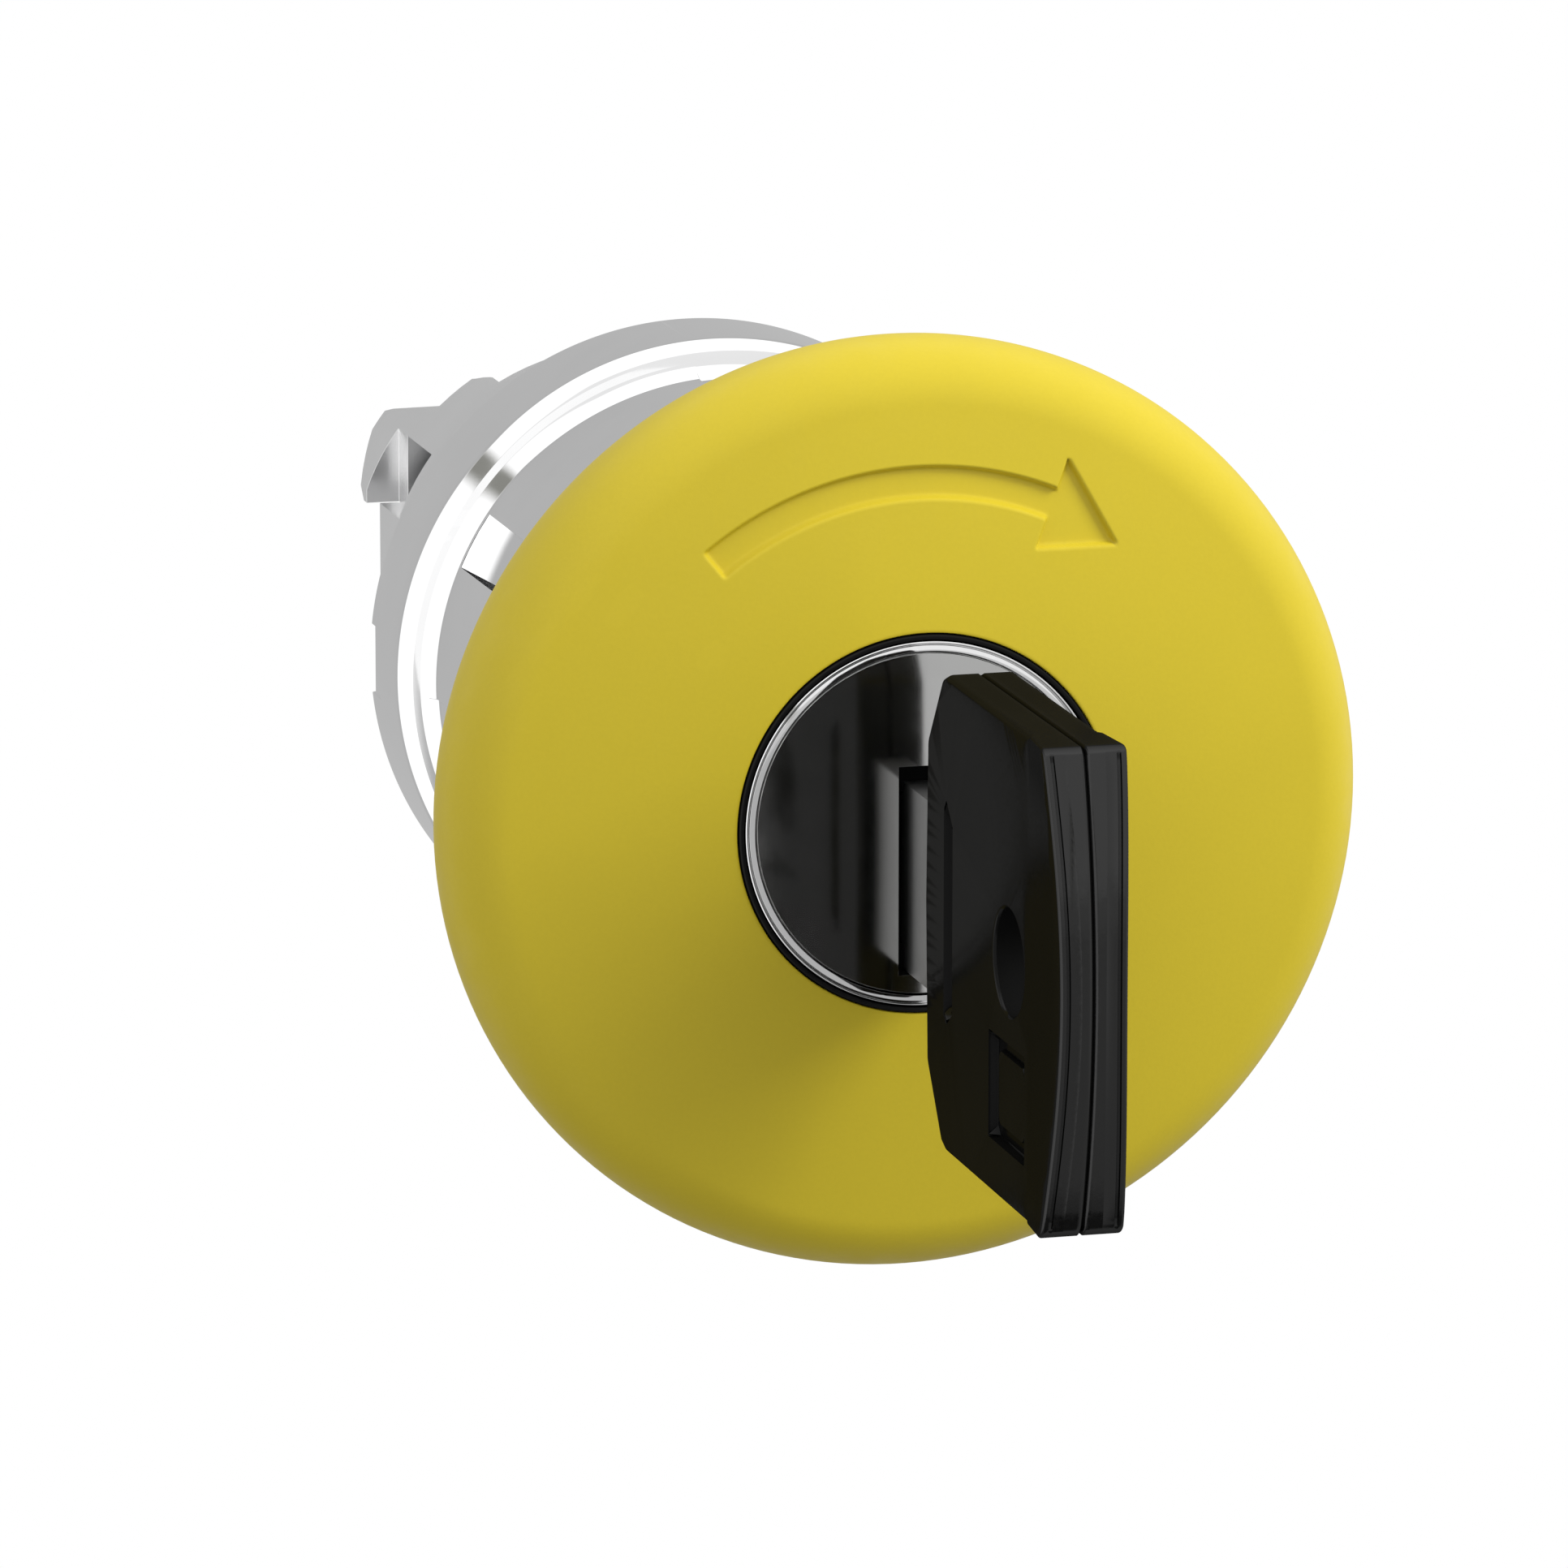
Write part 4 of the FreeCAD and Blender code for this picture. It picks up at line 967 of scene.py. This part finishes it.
def cut(ob, cutters):
    """Cuts the cutters out of an object's mesh and removes them."""
    for cutter in cutters:
        modifier = ob.modifiers.new("cut", "BOOLEAN")
        modifier.operation = "DIFFERENCE"
        modifier.object = cutter
        modifier.solver = "EXACT"
    bpy.context.view_layer.update()
    depsgraph = bpy.context.evaluated_depsgraph_get()
    mesh = bpy.data.meshes.new_from_object(ob.evaluated_get(depsgraph))
    ob.modifiers.clear()
    old = ob.data
    ob.data = mesh
    bpy.data.meshes.remove(old)
    for cutter in cutters:
        mesh = cutter.data
        bpy.data.objects.remove(cutter)
        bpy.data.meshes.remove(mesh)


def finish_bezel(ob, material, width, angle, segments, dissolve):
    """Merges flat facets within the dissolve angle, rounds the edges and plates the piece."""
    with editing(ob.data) as bm:
        bmesh.ops.remove_doubles(bm, verts=bm.verts, dist=2e-6)
        bmesh.ops.dissolve_limit(bm, angle_limit=math.radians(dissolve), verts=bm.verts,
                                 edges=bm.edges)
    set_finish(ob, material)
    add_bevel(ob, width, angle, segments)
    add_weighted_normals(ob)
    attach(ob, "bezel")
    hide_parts("bezel_body")


def bezel_front():
    """Neck and flange, with the pocket in the neck and a notch in the flange's left edge."""
    ob = solid("bezel_front", *lathe(bezel_profile(), bezel_angles(), raise_neck))
    cut(ob, [
        neck_pocket(),
        box("notch", -16.0, -14.47, -2.0, 1.0, -1.6, 1.55),
        box("pin_pocket_right", 8.0, 10.62, -8.2, -5.7, -1.62, 1.62),
        box("pin_pocket_left", -10.62, -8.0, -8.2, -5.7, -1.62, 1.62),
    ])
    finish_bezel(ob, "chrome", width=0.045, angle=30, segments=2, dissolve=0.05)
    # the bright plating shows the room, not itself
    ob.visible_glossy = False


def bezel_tube():
    """Bayonet tube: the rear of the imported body, cut just behind y = 0 and closed there."""
    ob = bpy.data.objects.new("bezel_tube", NODES["bezel_body"].data.copy())
    scene.collection.objects.link(ob)
    with editing(ob.data) as bm:
        bmesh.ops.remove_doubles(bm, verts=bm.verts, dist=2e-6)
        bmesh.ops.bisect_plane(bm, geom=bm.verts[:] + bm.edges[:] + bm.faces[:],
                               plane_co=(0, 0.05 * MM, 0), plane_no=(0, 1, 0), clear_inner=True)
        bmesh.ops.bridge_loops(bm, edges=[e for e in bm.edges if e.is_boundary])
        bmesh.ops.recalc_face_normals(bm, faces=bm.faces)
    finish_bezel(ob, "chrome_tube", width=0.10, angle=28, segments=3, dissolve=0.6)


bezel_front()
bezel_tube()

# ======================================================================= world
DEGREES = 57.29578      # in one radian
# greys of the room in front, each fading in over (start, end) degrees of elevation
FRONT_BANDS = [
    ((-4.2, -3.2), 0.66), ((0.6, 1.6), 1.0), ((-40.0, -41.0), 0.30), ((-44.0, -45.0), 0.02),
]
# centre direction of the curved dark seam
SEAM_X, SEAM_Y, SEAM_Z = 0.2524, 0.9437, -0.2136


def grey(level):
    return (level, level, level)


def seam_mask(g, x, y, z):
    """Narrow curved line across the room, placed by angles about the seam's centre."""
    x = g.calc("SUBTRACT", x, SEAM_X)
    y = g.calc("SUBTRACT", y, SEAM_Y)
    z = g.calc("ADD", z, -SEAM_Z)
    turn = g.calc("MULTIPLY", g.calc("ARCTAN2", z, x), DEGREES)
    squares = [g.calc("MULTIPLY", part, part) for part in (x, y, z)]
    length = g.calc("SQRT", g.calc("ADD", g.calc("ADD", squares[0], squares[1]), squares[2]))
    lean = g.calc("DIVIDE", g.calc("MULTIPLY", y, -1.0), length)
    lean = g.calc("MULTIPLY", g.calc("ARCSINE", lean), DEGREES)
    return g.calc("MULTIPLY", g.window(turn, rise=(134.6, 137.3), fall=(139.8, 143.6)),
                  g.window(lean, rise=(15.0, 22.0), fall=(76.0, 84.0)))


def build_world():
    """White for the camera, a grey room with softboxes for reflections, soft sky for diffuse."""
    world = bpy.data.worlds.new("studio")
    scene.world = world
    g = Graph(world, "OutputWorld")
    world.cycles.sampling_method = "NONE"
    source = g.add("TexCoord")
    x, y, z = g.split(source.outputs["Generated"])
    # azimuth is 0 at +Y, 90 at -X and 180 at -Y
    azimuth = g.calc("ARCTAN2", g.calc("MULTIPLY", x, -1.0), y)
    azimuth = g.calc("MULTIPLY", azimuth, DEGREES)
    elevation = g.calc("MULTIPLY", g.calc("ARCSINE", z), DEGREES)

    front = grey(0.50)
    for fade, level in FRONT_BANDS:
        front = g.mix(g.fade(elevation, *fade), front, grey(level))
    front_zone = g.calc("MAXIMUM", g.fade(azimuth, 158.0, 170.0), g.fade(azimuth, -120.0, -150.0))
    room = g.mix(front_zone, grey(0.525), front)

    right_box = g.calc("MULTIPLY", g.window(azimuth, rise=(-150.0, -125.0), fall=(-60.0, -40.0)),
                       g.window(elevation, rise=(-30.0, -10.0), fall=(60.0, 80.0)))
    room = g.mix(right_box, room, grey(0.95))
    # left softbox with a dark floor edge under it
    left = g.window(azimuth, rise=(44.0, 52.0), fall=(166.5, 171.5))
    low_edge = g.calc("MULTIPLY", left, g.fade(elevation, -44.0, -49.0))
    room = g.mix(low_edge, room, (0.30, 0.30, 0.295))
    left_box = g.calc("MULTIPLY", left, g.fade(elevation, -48.0, -44.0))
    room = g.mix(left_box, room, grey(1.35))
    # top softbox
    room = g.mix(g.fade(elevation, 38.0, 42.0), room, grey(1.35))
    room = g.mix(seam_mask(g, x, y, z), room, (0.30, 0.30, 0.275))

    sky = g.mix(g.fade(z, -0.25, 0.25), grey(0.33), grey(0.90))
    rays = g.add("LightPath")
    colour = g.mix(rays.outputs["Is Diffuse Ray"], room, sky)
    colour = g.mix(rays.outputs["Is Camera Ray"], colour, grey(1.0))
    background = g.add("Background")
    g.feed(background.inputs["Color"], colour)
    g.surface(background.outputs[0])


# ======================================================================= light and camera
def add_softbox(name, place, target, size, power):
    light = bpy.data.lights.new(name, "AREA")
    light.shape = "RECTANGLE"
    light.size = light.size_y = size
    light.energy = power
    ob = bpy.data.objects.new(name, light)
    ob.location = place
    ob.rotation_euler = (Vector(target) - Vector(place)).to_track_quat("-Z", "Y").to_euler()
    ob.visible_glossy = False
    scene.collection.objects.link(ob)


def add_camera(place, forward, up):
    camera = bpy.data.cameras.new("view")
    camera.sensor_width = 36.0
    camera.sensor_fit = "HORIZONTAL"
    camera.lens = 252.365217
    camera.clip_start = 0.01
    camera.clip_end = 50
    ob = bpy.data.objects.new("view", camera)
    scene.collection.objects.link(ob)
    forward = Vector(forward).normalized()
    right = forward.cross(Vector(up)).normalized()
    up = right.cross(forward).normalized()
    turn = Matrix((right, up, -forward)).transposed()
    ob.matrix_world = Matrix.Translation(place) @ turn.to_4x4()
    scene.camera = ob


build_world()
add_softbox("soft_right", place=(0.50, -0.34, 0.44), target=(0, -0.04, 0), size=0.36, power=3.8)
add_camera(place=(-0.12151, -0.47134, 0.09971), forward=(0.25240, 0.94374, -0.21363),
           up=(0.0552, 0.2064, 0.9769))
scene.view_settings.view_transform = "Standard"
scene.view_settings.look = "None"
